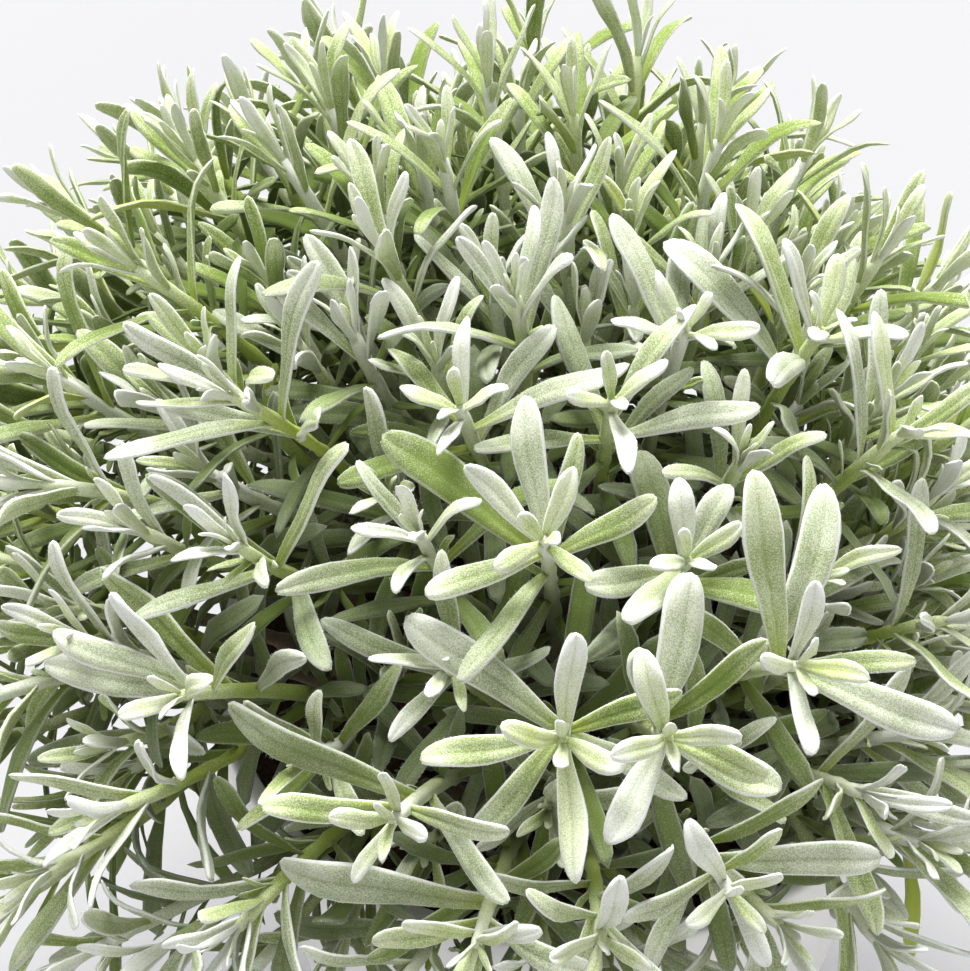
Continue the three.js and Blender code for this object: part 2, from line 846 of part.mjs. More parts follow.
// A tapered pot with a proud band under its rim and drain holes round the middle of its floor.
function potGeometry() {
  const band = POT_HEIGHT - RIM_BAND_HEIGHT;
  const inner = (height) => potRadiusAt(height) - POT_WALL;
  const profile = [
    [0, 0],
    [potRadiusAt(0), 0],
    [potRadiusAt(band), band],
    [POT_RIM_RADIUS - RIM_BAND_TAPER, band],
    [POT_RIM_RADIUS, POT_HEIGHT - RIM_BEVEL],
    [POT_RIM_RADIUS - RIM_BEVEL, POT_HEIGHT],
    [inner(POT_HEIGHT), POT_HEIGHT],
    [inner(POT_FLOOR), POT_FLOOR],
    [0, POT_FLOOR],
  ];
  let pot = solidOf(lathe(profile, POT_SIDES));
  for (let i = 0; i < DRAIN_HOLES; i++) pot = pot.subtract(drainHole(i));
  return geometryOf(pot);
}

// The soil fills the pot to a little below its rim and has a plain hole for each stem's foot.
function soilGeometry() {
  const side = (height) => potRadiusAt(height) - POT_WALL - SOIL_WALL_GAP;
  const profile = [
    [0, POT_FLOOR + SEAT_GAP],
    [side(POT_FLOOR), POT_FLOOR + SEAT_GAP],
    [side(SOIL_TOP), SOIL_TOP],
    [SOIL_SHOULDER_RADIUS, SOIL_TOP + SOIL_SHOULDER_RISE],
    [0, SOIL_TOP + SOIL_CROWN],
  ];
  let soil = solidOf(lathe(profile, POT_SIDES));
  for (const shoot of shoots) if (shoot.isMain) soil = soil.subtract(soilHole(shoot));
  return geometryOf(soil);
}

growStems();
growLeaves();

const plant = new THREE.Group();
function addPart(name, geometry, color, roughness) {
  geometry.computeVertexNormals();
  const material = new THREE.MeshStandardMaterial({ color, roughness, metalness: 0 });
  const mesh = new THREE.Mesh(geometry, material);
  mesh.name = name;
  plant.add(mesh);
}

addPart("pot", potGeometry(), 0xecebe6, 0.45);
addPart("soil", soilGeometry(), 0x3b2b20, 0.95);
shoots
  .filter((shoot) => shoot.isMain)
  .forEach((shoot, i) => {
    const number = String(i + 1).padStart(2, "0");
    addPart(`leafy_stem_${number}`, plantStemGeometry(shoot), 0xa9bd8d, 0.85);
  });

export default plant;
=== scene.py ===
"""Looks for a woolly lavender in a plain white pot: felted leaves, square stems, soil, floor and light.

The plant grows here by the same rule as its solids, so each leaf lies where its solid blade lies, and
the rule then goes on with the smaller and inner leaves. Lengths are in millimetres until a mesh is made.
"""
import bpy
import math
import numpy as np
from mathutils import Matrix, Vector


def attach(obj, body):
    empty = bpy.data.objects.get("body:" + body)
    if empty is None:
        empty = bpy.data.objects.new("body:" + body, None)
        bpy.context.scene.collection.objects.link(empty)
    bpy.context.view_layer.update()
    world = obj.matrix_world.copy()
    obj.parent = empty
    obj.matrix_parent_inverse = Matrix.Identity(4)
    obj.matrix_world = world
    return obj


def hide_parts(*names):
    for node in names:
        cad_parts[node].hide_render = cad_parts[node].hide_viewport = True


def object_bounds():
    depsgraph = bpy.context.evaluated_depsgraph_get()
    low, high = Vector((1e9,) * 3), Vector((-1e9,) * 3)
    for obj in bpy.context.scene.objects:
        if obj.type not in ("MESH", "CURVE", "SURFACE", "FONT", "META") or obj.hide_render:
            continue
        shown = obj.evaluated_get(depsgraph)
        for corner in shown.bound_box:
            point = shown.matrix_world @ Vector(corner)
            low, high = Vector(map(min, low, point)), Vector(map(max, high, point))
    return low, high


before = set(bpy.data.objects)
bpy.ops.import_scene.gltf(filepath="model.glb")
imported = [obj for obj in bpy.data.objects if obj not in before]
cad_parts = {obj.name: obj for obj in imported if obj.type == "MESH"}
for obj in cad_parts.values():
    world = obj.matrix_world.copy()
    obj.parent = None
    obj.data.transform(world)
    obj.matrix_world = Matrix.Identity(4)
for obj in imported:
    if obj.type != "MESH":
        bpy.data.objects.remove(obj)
cad_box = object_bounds()

MM = 0.001
UP = np.array([0.0, 0.0, 1.0])

# Pot and soil
POT_HEIGHT = 130
POT_RIM_RADIUS = 74
DRAIN_HOLES = 6
DRAIN_HOLE_RADIUS = 4.5
DRAIN_CIRCLE_RADIUS = 36
SOIL_CROWN = 2.5
SOIL_TOP = 118
CLEAR_OF_SOIL = 4.5
CLEAR_INSIDE_RIM = 8
CLEAR_OUTSIDE_RIM = 5
CLEAR_OVER_RIM = 3

# Stems, as in the part's own source
MAIN_STEMS = 50
SIDE_SHOOTS = 45
CLUMP_RADIUS = 38
FOOT_HALF = 1.5
SIDE_FOOT_HALF = 1.1
TIP_HALF = 0.85
FOOT_SPREAD_POWER = 0.9
MAIN_STATIONS = [0, 0.22, 0.42, 0.62]
SIDE_STATIONS = [0.36, 0.64]
STEM_REACH = 124
REACH_SPREAD = 6
FULLER_BEARING = 160
FULLER_REACH_EXTRA = 26
LOWEST_LEAN = 80
LEAST_STEM_BEND = 3
STEM_BEND_PER_LEAN = 0.24
SWEPT_BEARING = 190
SWEPT_STEM_BEND = 18
MAIN_SPACING = 16.2
SIDE_SPACING = 10.4
SIDE_REACH_LESS = 6
FORK_STATIONS = [0.42, 0.62]
FORK_HALF_HEIGHT = 1.1
FORK_BEND = 16
FORK_CLEAR = 2.5
FORK_FIRST_SHARE = 0.04
FORK_LAST_SHARE = 0.3
FORK_SHARE_STEP = 0.02
STATION_GAP = 0.08
SHORTEST_SIDE_SHOOT = 32
LEAST_FORK_SLOPE = 0.42
CANDIDATES = 1400
GOLDEN_ANGLE = 137.508

# Leaves, as in the part's own source
LEAF_THICK = 1.1
LEAF_LEAST_HALF_WIDTH = 0.3
LEAF_HALF_WIDTH_PER_LENGTH = 0.066
WISHED_LEAF_BEND = 16
LEAST_LEAF_SPREAD = 13
LEAST_TIP_LEAF_SPREAD = 4
LEAF_JITTER = {"clock": 16, "spread": 8, "bend": 12, "roll": 22, "sway": 0.1, "length": 0.14}
LEAF_STATIONS = np.array([0, 0.38, 0.76, 1])
LEAF_HALF_SHARES = [0.3, 0.8, 1, 0]
LEAF_PAIRS = [(3.5, 19, 18, 10), (8, 25, 28, 16), (14, 29, 38, 22)]
FIRST_PAIR_AGE = 0.22
PAIR_AGE_STEP = 0.2
CLEARANCE = 0.36
STEM_SLACK = 0.25
SEARCH_STRETCH = 1.1
SEARCH_MARGIN = 2
TRIES = [1, 0.88, 0.76, 0.64], [0, -8, 8, -16, 16], [0, 12, -12, 24, -24, 36, -36]

# The front shoots: bearing, lean, reach and how broad the leaves are, then the leaves as clock angle,
# spread and length
FRONT_SHOOTS = [
    (-93, 45, 128, 0.1,
     [(4, 50, 22), (172, 60, 25), (259, 70, 25), (305, 72, 34), (218, 66, 24), (80, 64, 22)]),
    (-82, 45, 130, 0.135,
     [(345, 50, 17), (217, 62, 21), (82, 66, 26), (322, 64, 19), (19, 68, 28), (122, 66, 24)]),
    (-97, 30, 128, 0.1,
     [(306, 50, 20), (130, 40, 14), (345, 62, 27), (240, 66, 23), (302, 74, 36), (60, 66, 22)]),
    (-122, 20, 122, 0.08,
     [(337, 40, 18), (160, 40, 16), (288, 60, 21), (57, 72, 31), (10, 56, 26), (220, 66, 26)]),
    (-83, 17, 122, 0.08,
     [(352, 42, 20), (178, 50, 20), (8, 50, 26), (321, 60, 28), (90, 66, 28), (250, 66, 26)]),
    (-44, 12, 120, 0.1,
     [(275, 50, 17), (156, 40, 16), (12, 50, 28), (48, 60, 24), (352, 56, 35), (328, 64, 38)]),
    (-12, 22, 118, 0.1,
     [(0, 30, 24), (180, 40, 18), (32, 48, 31), (290, 50, 24), (0, 56, 35), (100, 60, 30)]),
    (-65, 42, 125, 0.1,
     [(20, 40, 18), (200, 44, 18), (131, 62, 33), (326, 62, 36), (35, 58, 34), (60, 74, 38)]),
    (-73, 31, 115, 0.13,
     [(340, 40, 16), (215, 50, 19), (43, 56, 18), (280, 60, 20), (359, 56, 24), (120, 62, 22)]),
    (-77, 58, 125, 0.1,
     [(335, 50, 20), (160, 40, 16), (47, 50, 16), (260, 60, 20), (97, 72, 31), (48, 66, 29)]),
    (-89, 61, 125, 0.1, [(22, 54, 21)]),
    (-100, 62, 125, 0.1, [(295, 44, 16), (54, 44, 16), (260, 56, 20), (100, 56, 22), (274, 76, 38)]),
    (-109, 53, 128, 0.09,
     [(352, 40, 14), (200, 40, 14), (262, 56, 25), (80, 50, 22), (284, 68, 37), (252, 70, 34)]),
    (-134, 51, 130, 0.08,
     [(311, 44, 24), (130, 40, 18), (265, 50, 30), (60, 54, 24), (246, 58, 37), (290, 56, 32)]),
    (-26, 32, 120, 0.09, [(38, 50, 24)]),
]


class Stream:
    """A repeatable stream of numbers from 0 to 1."""

    def __init__(self, seed):
        self.state = seed

    def random(self):
        self.state = (self.state * 1664525 + 1013904223) & 0xFFFFFFFF
        return self.state / 4294967296

    def jitter(self, spread):
        return (self.random() * 2 - 1) * spread


stream = Stream(20431)


def sin(degrees):
    return math.sin(math.radians(degrees))


def cos(degrees):
    return math.cos(math.radians(degrees))


def mix(start, end, share):
    return start + (end - start) * share


def unit(v):
    return v / np.linalg.norm(v)


def cross(a, b):
    return np.array([a[1] * b[2] - a[2] * b[1], a[2] * b[0] - a[0] * b[2], a[0] * b[1] - a[1] * b[0]])


def compass(bearing):
    return np.array([cos(bearing), sin(bearing), 0.0])


def towards(bearing, lean):
    return compass(bearing) * sin(lean) + UP * cos(lean)


class Arc:
    """An arc from start to tip that sets off towards the bulge side and turns by twice bend radians."""

    def __init__(self, start, tip, bulge, bend):
        along = tip - start
        self.chord = np.linalg.norm(along)
        self.along = along / self.chord
        self.side = unit(bulge - self.along * (bulge @ self.along))
        self.across = cross(self.along, self.side)
        self.start, self.bend = start, bend
        self.radius = self.chord / (2 * math.sin(bend))
        self.length = 2 * self.radius * bend

    def point(self, share):
        angle = self.bend * (2 * share - 1)
        out = self.radius * math.sin(angle) + self.chord / 2
        rise = self.radius * (math.cos(angle) - math.cos(self.bend))
        return self.start + self.along * out + self.side * rise

    def forward(self, share):
        angle = self.bend * (2 * share - 1)
        return self.along * math.cos(angle) - self.side * math.sin(angle)


NEXT = np.array([1, 2, 0]), np.array([2, 0, 1])


class Boxes:
    """Turned boxes round the stretches of stems and leaves, which keep them clear of each other."""

    def __init__(self, room=24000):
        self.count = 0
        self.centre, self.half = np.zeros((2, room, 3))
        self.axes, self.radius = np.zeros((room, 3, 3)), np.zeros(room)
        self.stem, self.shoot = np.zeros((2, room), int)
        self.is_stem, self.root = np.zeros((2, room), bool)

    def add(self, boxes):
        for centre, axes, half, radius, stem, shoot, is_stem, root in boxes:
            i = self.count
            self.centre[i], self.axes[i], self.half[i], self.radius[i] = centre, axes, half, radius
            self.stem[i], self.shoot[i], self.is_stem[i], self.root[i] = stem, shoot, is_stem, root
            self.count += 1

    def may_meet(self, near, stem, shoot, is_stem, root):
        """Neighbours in one plant stem may meet where they grow out of each other, and nowhere else."""
        same_stem = self.stem[near] == stem
        same_shoot = same_stem & (self.shoot[near] == shoot)
        own = same_shoot & ((root & self.root[near]) | is_stem | self.is_stem[near])
        if not is_stem:
            return own
        from_mine = root & (self.shoot[near] == self.stem[near])
        from_theirs = self.root[near] & (shoot == stem)
        fork = same_stem & ~same_shoot & self.is_stem[near] & (from_mine | from_theirs)
        return own | fork

    def around(self, place, reach):
        """The boxes that something within reach of a place could touch."""
        away = self.centre[: self.count] - place
        return np.nonzero(np.einsum("ij,ij->i", away, away) <= (self.radius[: self.count] + reach) ** 2)[0]

    def clear(self, boxes, nearby=None):
        if nearby is None:
            nearby = np.arange(self.count)
        return all(self.clear_of(nearby, *box) for box in boxes)

    def clear_of(self, nearby, centre, axes, half, radius, stem, shoot, is_stem, root):
        away = self.centre[nearby] - centre
        near = np.einsum("ij,ij->i", away, away) <= (self.radius[nearby] + radius) ** 2
        away, nearby = away[near], nearby[near]
        free = ~self.may_meet(nearby, stem, shoot, is_stem, root)
        away, nearby = away[free], nearby[free]
        if not len(nearby):
            return True
        theirs = self.half[nearby]
        turn = axes @ self.axes[nearby].transpose(0, 2, 1)
        size = np.abs(turn) + 1e-9
        offset = away @ axes.T
        apart = (np.abs(offset) > half + np.einsum("nij,nj->ni", size, theirs)).any(1)
        across = np.abs(np.einsum("ni,nij->nj", offset, turn))
        apart |= (across > theirs + np.einsum("nij,i->nj", size, half)).any(1)
        if apart.all():
            return True
        left = ~apart
        theirs, turn, size, offset = theirs[left], turn[left], size[left], offset[left]
        one, two = NEXT
        mine = half[one, None] * size[:, two] + half[two, None] * size[:, one]
        other = theirs[:, None, one] * size[:, :, two] + theirs[:, None, two] * size[:, :, one]
        span = np.abs(offset[:, two, None] * turn[:, one] - offset[:, one, None] * turn[:, two])
        return bool((span > mine + other).any((1, 2)).all())


placed = Boxes()


def stretch(start, end, across, half_width, half_thick, owner, clearance=CLEARANCE):
    forward = end - start
    half_length = math.sqrt(forward @ forward) / 2
    forward = forward / (2 * half_length)
    face = unit(cross(forward, across))
    half = np.array([half_length, half_width, half_thick]) + clearance
    axes = np.array([forward, cross(face, forward), face])
    return ((start + end) / 2, axes, half, math.sqrt(half @ half), *owner)


class Shoot:
    """A main stem, side shoot or twig along its path, with the side shoots and leaves that it carries."""

    def __init__(self, index, stem, way, path, clock, stations, broad=None, wishes=None):
        self.index, self.stem, self.way, self.path, self.clock = index, stem, way, path, clock
        self.stations, self.broad, self.wishes = stations, broad, wishes
        self.is_main = index == stem
        self.forks, self.leaves = [], []
        self.rows = [[None] * 4 for _ in LEAF_PAIRS]

    def half(self, share):
        return mix(FOOT_HALF if self.is_main else SIDE_FOOT_HALF, TIP_HALF, share)

    def side_clock(self, side):
        return self.clock - 90 * side

    def corner(self, share, corner):
        way = out_of(self.path, share, self.clock + 45 - 90 * corner)
        return self.path.point(share) + way * self.half(share) * math.sqrt(2)

    def nearest_side(self, clock):
        return max(range(4), key=lambda side: (cos(clock - self.side_clock(side)), -side))

    def boxes(self, slack=STEM_SLACK, clearance=CLEARANCE):
        ends = [*self.stations[1:], 1]
        made = []
        for i, end in enumerate(ends):
            start = 0 if i == 0 else self.stations[i]
            half = self.half(start) + slack
            owner = (self.stem, self.index, True, i == 0)
            ends_at = self.path.point(start), self.path.point(end)
            made.append(stretch(*ends_at, self.path.across, half, half, owner, clearance))
        return made


def out_of(path, share, clock):
    """The direction out of a stem at a clock angle, which runs clockwise for someone who faces the tip."""
    top = cross(path.across, path.forward(share))
    return top * cos(clock) - path.across * sin(clock)


crown = np.array([0, 0, SOIL_TOP + SOIL_CROWN / 2])
shoots = []


def angle_between(a, b):
    return math.degrees(math.acos(min(1, max(-1, float(a @ b)))))


def dome_directions():
    lowest = 1 - cos(LOWEST_LEAN)
    found = []
    for i in range(CANDIDATES):
        lean = math.degrees(math.acos(1 - lowest * (i + 0.5) / CANDIDATES))
        bearing = (i * GOLDEN_ANGLE) % 360
        found.append((bearing, lean, towards(bearing, lean)))
    return found


def reach_of(way):
    """The plant is fuller on one side, where its stems reach further."""
    return STEM_REACH + FULLER_REACH_EXTRA * (way @ compass(FULLER_BEARING)) + stream.jitter(REACH_SPREAD)


def add_main_stem(bearing, lean, reach, broad=None, wishes=None):
    foot = compass(bearing) * CLUMP_RADIUS * sin(lean) ** FOOT_SPREAD_POWER
    way = towards(bearing, lean)
    bulge = UP * sin(lean) - compass(bearing) * cos(lean)
    swept = 0 if wishes else SWEPT_STEM_BEND * max(0, way @ compass(SWEPT_BEARING))
    bend = math.radians(LEAST_STEM_BEND + STEM_BEND_PER_LEAN * lean + swept)
    path = Arc(crown + foot, crown + way * reach, bulge, bend)
    clock = wishes[0][0] if wishes else stream.random() * 360
    shoot = Shoot(len(shoots), len(shoots), way, path, clock, MAIN_STATIONS, broad, wishes)
    shoots.append(shoot)
    placed.add(shoot.boxes())


def first_clear_share(path, parent, station):
    """How far along its path a side shoot has come clear of its parent stem."""
    origin, forward = parent.path.point(station), parent.path.forward(station)
    share = FORK_FIRST_SHARE
    while share < FORK_LAST_SHARE:
        off = path.point(share) - origin
        if np.linalg.norm(off - forward * (off @ forward)) > parent.half(station) + FORK_CLEAR:
            return share
        share += FORK_SHARE_STEP
    return FORK_LAST_SHARE


def branch(parent, station, tip):
    """The path of a shoot that grows out of a parent stem, and the way it leads off from it."""
    start, parent_way = parent.path.point(station), parent.path.forward(station)
    chord = tip - start
    away = chord - parent_way * (chord @ parent_way)
    return Arc(start, tip, away, math.radians(FORK_BEND)), away


def add_side_shoot(parent, way, reach):
    tip = crown + way * reach
    for station in FORK_STATIONS:
        path, away = branch(parent, station, tip)
        clock = math.degrees(math.atan2(-away @ parent.path.across, away @ out_of(parent.path, station, 0)))
        side = parent.nearest_side(clock)
        slope = path.forward(0) @ out_of(parent.path, station, parent.side_clock(side))
        if path.length < SHORTEST_SIDE_SHOOT or slope < LEAST_FORK_SLOPE:
            continue
        if any(fork[0] == station for fork in parent.forks):
            continue
        gap = FORK_HALF_HEIGHT / parent.path.length
        low, high, beside = station - gap, station + gap, (side + 1) % 4
        corners = [(low, side), (low, beside), (high, beside), (high, side)]
        window = [parent.corner(share, corner) for share, corner in corners]
        corner = window[0] - sum(window) / 4
        first = first_clear_share(path, parent, station)
        at = math.degrees(math.atan2(-corner @ path.across, corner @ out_of(path, first, 0)))
        lowest_pair = 1 - LEAF_PAIRS[-1][0] / path.length
        stations = [first, *(s for s in SIDE_STATIONS if s < lowest_pair - STATION_GAP)]
        shoot = Shoot(len(shoots), parent.stem, way, path, at - 45, stations)
        boxes = shoot.boxes()
        if not placed.clear(boxes):
            continue
        placed.add(boxes)
        shoots.append(shoot)
        parent.forks.append((station, side, shoot))
        return


def grow_stems():
    directions = dome_directions()
    for bearing, lean, reach, broad, wishes in FRONT_SHOOTS:
        add_main_stem(bearing, lean, reach, broad, wishes)
    for bearing, lean, way in directions:
        if len(shoots) == MAIN_STEMS:
            break
        if any(angle_between(s.way, way) < MAIN_SPACING for s in shoots):
            continue
        add_main_stem(bearing, lean, reach_of(way))
    mains = list(shoots)
    for bearing, lean, way in directions:
        if len(shoots) == MAIN_STEMS + SIDE_SHOOTS:
            break
        if any(angle_between(s.way, way) < SIDE_SPACING for s in shoots):
            continue
        reach = reach_of(way) - SIDE_REACH_LESS
        free = [s for s in mains if len(s.forks) < len(FORK_STATIONS)]
        add_side_shoot(min(free, key=lambda s: angle_between(s.way, way)), way, reach)


class Leaf:
    """A blade that leaves its stem at the spread angle and bends over on an arc, with a roll and a sway."""

    def __init__(self, shoot, share, wish, clock, tilt, scale):
        path = shoot.path
        self.stem, self.shoot = shoot.stem, shoot.index
        self.root, self.axis = path.point(share), path.forward(share)
        self.outward = out_of(path, share, clock)
        self.level = cross(self.axis, self.outward)
        least = wish.get("least", LEAST_LEAF_SPREAD)
        self.spread, self.bend = math.radians(max(least, wish["spread"] + tilt)), math.radians(wish["bend"])
        self.roll, self.sway = math.radians(wish["roll"]), wish["sway"]
        self.length = wish["length"] * scale
        self.half_width = LEAF_LEAST_HALF_WIDTH + wish["broad"] * self.length
        self.age = wish["age"]

    def frames(self, shares):
        """For each share of the length, the middle of the top and the across and face directions."""
        turn = self.bend * shares
        reach = self.length * shares * np.sinc(turn / (2 * math.pi))
        chord_angle, angle = self.spread + turn / 2, self.spread + turn
        point = (
            self.root
            + np.outer(np.cos(chord_angle) * reach, self.axis)
            + np.outer(np.sin(chord_angle) * reach, self.outward)
            + np.outer(self.sway * shares**2 * self.length, self.level)
        )
        upper = np.outer(np.sin(angle), self.axis) - np.outer(np.cos(angle), self.outward)
        roll = (self.roll * shares)[:, None]
        across = np.cos(roll) * self.level + np.sin(roll) * upper
        face = np.cos(roll) * upper - np.sin(roll) * self.level
        return point, across, face

    def boxes(self, frames, thick, clearance):
        point, across, face = frames
        middle = point - face * thick / 2
        made = []
        for i in range(len(LEAF_STATIONS) - 1):
            half_width = self.half_width * max(LEAF_HALF_SHARES[i : i + 2])
            owner = (self.stem, self.shoot, False, i == 0)
            level = across[i] + across[i + 1]
            made.append(stretch(middle[i], middle[i + 1], level, half_width, thick / 2, owner, clearance))
        return made


BOX_SLACK = 2.5
box_low = np.array(cad_box[0]) / MM - BOX_SLACK
box_high = np.array(cad_box[1]) / MM + BOX_SLACK


def is_clear_of_pot(points):
    radius = np.hypot(points[:, 0], points[:, 1])
    inside = radius < POT_RIM_RADIUS - CLEAR_INSIDE_RIM
    over_soil = points[:, 2] > SOIL_TOP + CLEAR_OF_SOIL
    past_rim = (radius > POT_RIM_RADIUS + CLEAR_OUTSIDE_RIM) | (points[:, 2] > POT_HEIGHT + CLEAR_OVER_RIM)
    return bool(np.where(inside, over_soil, past_rim).all())


def is_in_box(point):
    """Whether a point of the finer growth lies in the box of the solids, or at most a little past it."""
    return bool((point > box_low).all() and (point < box_high).all())


def place_leaf(shoot, share, wish, tries=TRIES, thick=LEAF_THICK, clearance=CLEARANCE):
    """Grows the leaf that is wished for, turned, tilted or shortened where it has to clear the others."""
    scales, spreads, clocks = tries
    reach = wish["length"] * scales[0] * SEARCH_STRETCH + SEARCH_MARGIN
    nearby = placed.around(shoot.path.point(share), reach)
    for scale in scales:
        for tilt in spreads:
            for turn in clocks:
                leaf = Leaf(shoot, share, wish, wish["clock"] + turn, tilt, scale)
                frames = leaf.frames(LEAF_STATIONS)
                if not is_clear_of_pot(frames[0][1:]):
                    continue
                if tries is not TRIES and not is_in_box(frames[0][-1]):
                    continue
                boxes = leaf.boxes(frames, thick, clearance)
                if placed.clear(boxes, nearby):
                    placed.add(boxes)
                    shoot.leaves.append(leaf)
                    return leaf
    return None


def row_share(shoot, below):
    return 1 - below / shoot.path.length


def vary(shoot, side, length, spread, bend, age, jitter):
    """A wish for one leaf on one side of a stem, varied at random."""
    means = {"clock": shoot.side_clock(side), "spread": spread, "bend": bend, "roll": 0, "sway": 0}
    wish = {name: mean + stream.jitter(jitter[name]) for name, mean in means.items()}
    wish["length"] = length * (1 + stream.jitter(jitter["length"]))
    wish["broad"], wish["age"] = LEAF_HALF_WIDTH_PER_LENGTH, age
    if "broad" in jitter:
        wish["broad"] += stream.jitter(jitter["broad"])
    return wish


def grow_pair(shoot, row):
    below, length, spread, bend = LEAF_PAIRS[row]
    for side in (row % 2, row % 2 + 2):
        wish = vary(shoot, side, length, spread, bend, FIRST_PAIR_AGE + PAIR_AGE_STEP * row, LEAF_JITTER)
        if not shoot.wishes or row * 2 >= len(shoot.wishes):
            place_leaf(shoot, row_share(shoot, below), wish)


def grow_wish(shoot, wished, row):
    """Grows a listed leaf, in the first row that is free on its side of the stem."""
    clock, spread, length = wished
    side = shoot.nearest_side(clock)
    free = next((i for i, row_leaves in enumerate(shoot.rows) if i >= row and not row_leaves[side]), None)
    if free is None:
        return
    age = FIRST_PAIR_AGE + PAIR_AGE_STEP * free
    wish = {"clock": clock, "spread": spread, "bend": WISHED_LEAF_BEND, "roll": 0, "sway": 0}
    wish.update(length=length, broad=shoot.broad, age=age)
    shoot.rows[free][side] = place_leaf(shoot, row_share(shoot, LEAF_PAIRS[free][0]), wish)


def grow_leaves():
    for shoot in shoots:
        for i, wished in enumerate(shoot.wishes or []):
            grow_wish(shoot, wished, i // 2)
    for row in range(len(LEAF_PAIRS)):
        for shoot in shoots:
            grow_pair(shoot, row)


grow_stems()
grow_leaves()


# The finer growth that the solids leave out: how far below the tip each pair grows, its length, spread
# and bend
TIP_PAIRS = [(1.2, 15.5, 13, 8), (0.3, 10, 7, 3)]
FRONT_TIP_PAIRS = [(1.2, 13, 36, 14), (0.3, 9.5, 22, 8)]
FRONT_TIP_BROAD = 0.13
LOWER_PAIRS = [(21, 29, 46, 26), (28.5, 28, 54, 28), (37, 26, 60, 30), (46, 24, 66, 30), (56, 22, 70, 30),
               (67, 20, 72, 30), (79, 19, 74, 30)]
ALL_PAIRS = [*LEAF_PAIRS, *LOWER_PAIRS]
FINE_TRIES = [1, 0.75, 0.5], [0, -10, 10], [0, 15, -15, 30, -30]
SMALL_TRIES = [1, 0.7], [0, 12], [0, 20, -20]
FINE_THICK = 0.8
FINE_CLEARANCE = 0.1
SMALL_THICK = 0.5
SMALL_CLEARANCE = 0.05
TIP_AGE = 0.1
LOWER_AGE_STEP = 0.17
AXIL_AGE = 0.4
LEAST_STEM_LEFT = 5
AXIL_ABOVE = 1.3
AXIL_LENGTH = 9
AXIL_SPREAD = 26
AXIL_BEND = 6
AXIL_TURN = 38
AXIL_CHANCE = 0.13
FINE_JITTER = {"clock": 14, "spread": 7, "bend": 10, "roll": 20, "sway": 0.1, "length": 0.16,
               "broad": 0.008}

# Twigs: finer side shoots between the others, sparser and shorter on the near side
NEAR_SIDE = unit(np.array([0, -1, 1.0]))
TWIG_SPACING = 6.4
NEAR_TWIG_SPACING = 8.0
NEAR_TWIG_SHARE = 0.75
NEAR_TWIG_REACH_LESS = 9
TWIG_STARTS = [0.5, 0.36, 0.64, 0.25]
TWIG_PARENTS = 4
TWIG_STATIONS = [0.06, 0.3, 0.55, 0.8]
TWIG_HIDDEN = 1
TWIG_REACH_LESS = (4, 26)
TWIG_LEAST_LENGTH = 26
TWIG_LEAST_AWAY = 3
TWIG_MOST = 240


def add_twig(way, reach, mains):
    """Grows a twig from the nearest main stem that has room for it; its hidden foot may touch others."""
    tip = crown + way * reach
    for parent in sorted(mains, key=lambda s: angle_between(s.way, way))[:TWIG_PARENTS]:
        for start in TWIG_STARTS:
            path, away = branch(parent, start, tip)
            if path.chord < TWIG_LEAST_LENGTH or np.linalg.norm(away) < TWIG_LEAST_AWAY:
                continue
            shoot = Shoot(len(shoots), parent.stem, way, path, stream.random() * 360, TWIG_STATIONS)
            boxes = shoot.boxes(0, 0)
            if placed.clear(boxes[TWIG_HIDDEN:]):
                placed.add(boxes)
                shoots.append(shoot)
                return shoot
    return None


def grow_twigs():
    mains = [shoot for shoot in shoots if shoot.is_main]
    count = 0
    for bearing, lean, way in dome_directions():
        near = way @ NEAR_SIDE > NEAR_TWIG_SHARE
        spacing = NEAR_TWIG_SPACING if near else TWIG_SPACING
        if any(angle_between(s.way, way) < spacing for s in shoots):
            continue
        reach = reach_of(way) - mix(*TWIG_REACH_LESS, stream.random()) - near * NEAR_TWIG_REACH_LESS
        count += add_twig(way, reach, mains) is not None
        if count == TWIG_MOST:
            return


def grow_tip_leaves():
    """Two pairs of young leaves at the tip of every shoot; the last pair is too small to be kept clear."""
    for shoot in shoots:
        for i, (below, length, spread, bend) in enumerate(FRONT_TIP_PAIRS if shoot.wishes else TIP_PAIRS):
            for side in ((i + 1) % 2, (i + 1) % 2 + 2):
                wish = vary(shoot, side, length, spread, bend, TIP_AGE * (1 - i), FINE_JITTER)
                wish["least"] = LEAST_TIP_LEAF_SPREAD
                if shoot.wishes:
                    wish["broad"] = FRONT_TIP_BROAD
                share = row_share(shoot, below)
                if i:
                    wish["sway"] = 0
                    shoot.leaves.append(Leaf(shoot, share, wish, wish["clock"], 0, 1))
                else:
                    place_leaf(shoot, share, wish, FINE_TRIES, SMALL_THICK, SMALL_CLEARANCE)


def grow_lower_pairs():
    """The pairs down every shoot that the solids leave out."""
    for row, (below, length, spread, bend) in enumerate(ALL_PAIRS):
        age = min(1, FIRST_PAIR_AGE + LOWER_AGE_STEP * row)
        for shoot in shoots:
            if row_share(shoot, below) * shoot.path.length < LEAST_STEM_LEFT:
                continue
            if row < len(LEAF_PAIRS) and shoot.index < MAIN_STEMS + SIDE_SHOOTS:
                continue
            for side in (row % 2, row % 2 + 2):
                wish = vary(shoot, side, length, spread, bend, age, FINE_JITTER)
                place_leaf(shoot, row_share(shoot, below), wish, FINE_TRIES, FINE_THICK, FINE_CLEARANCE)


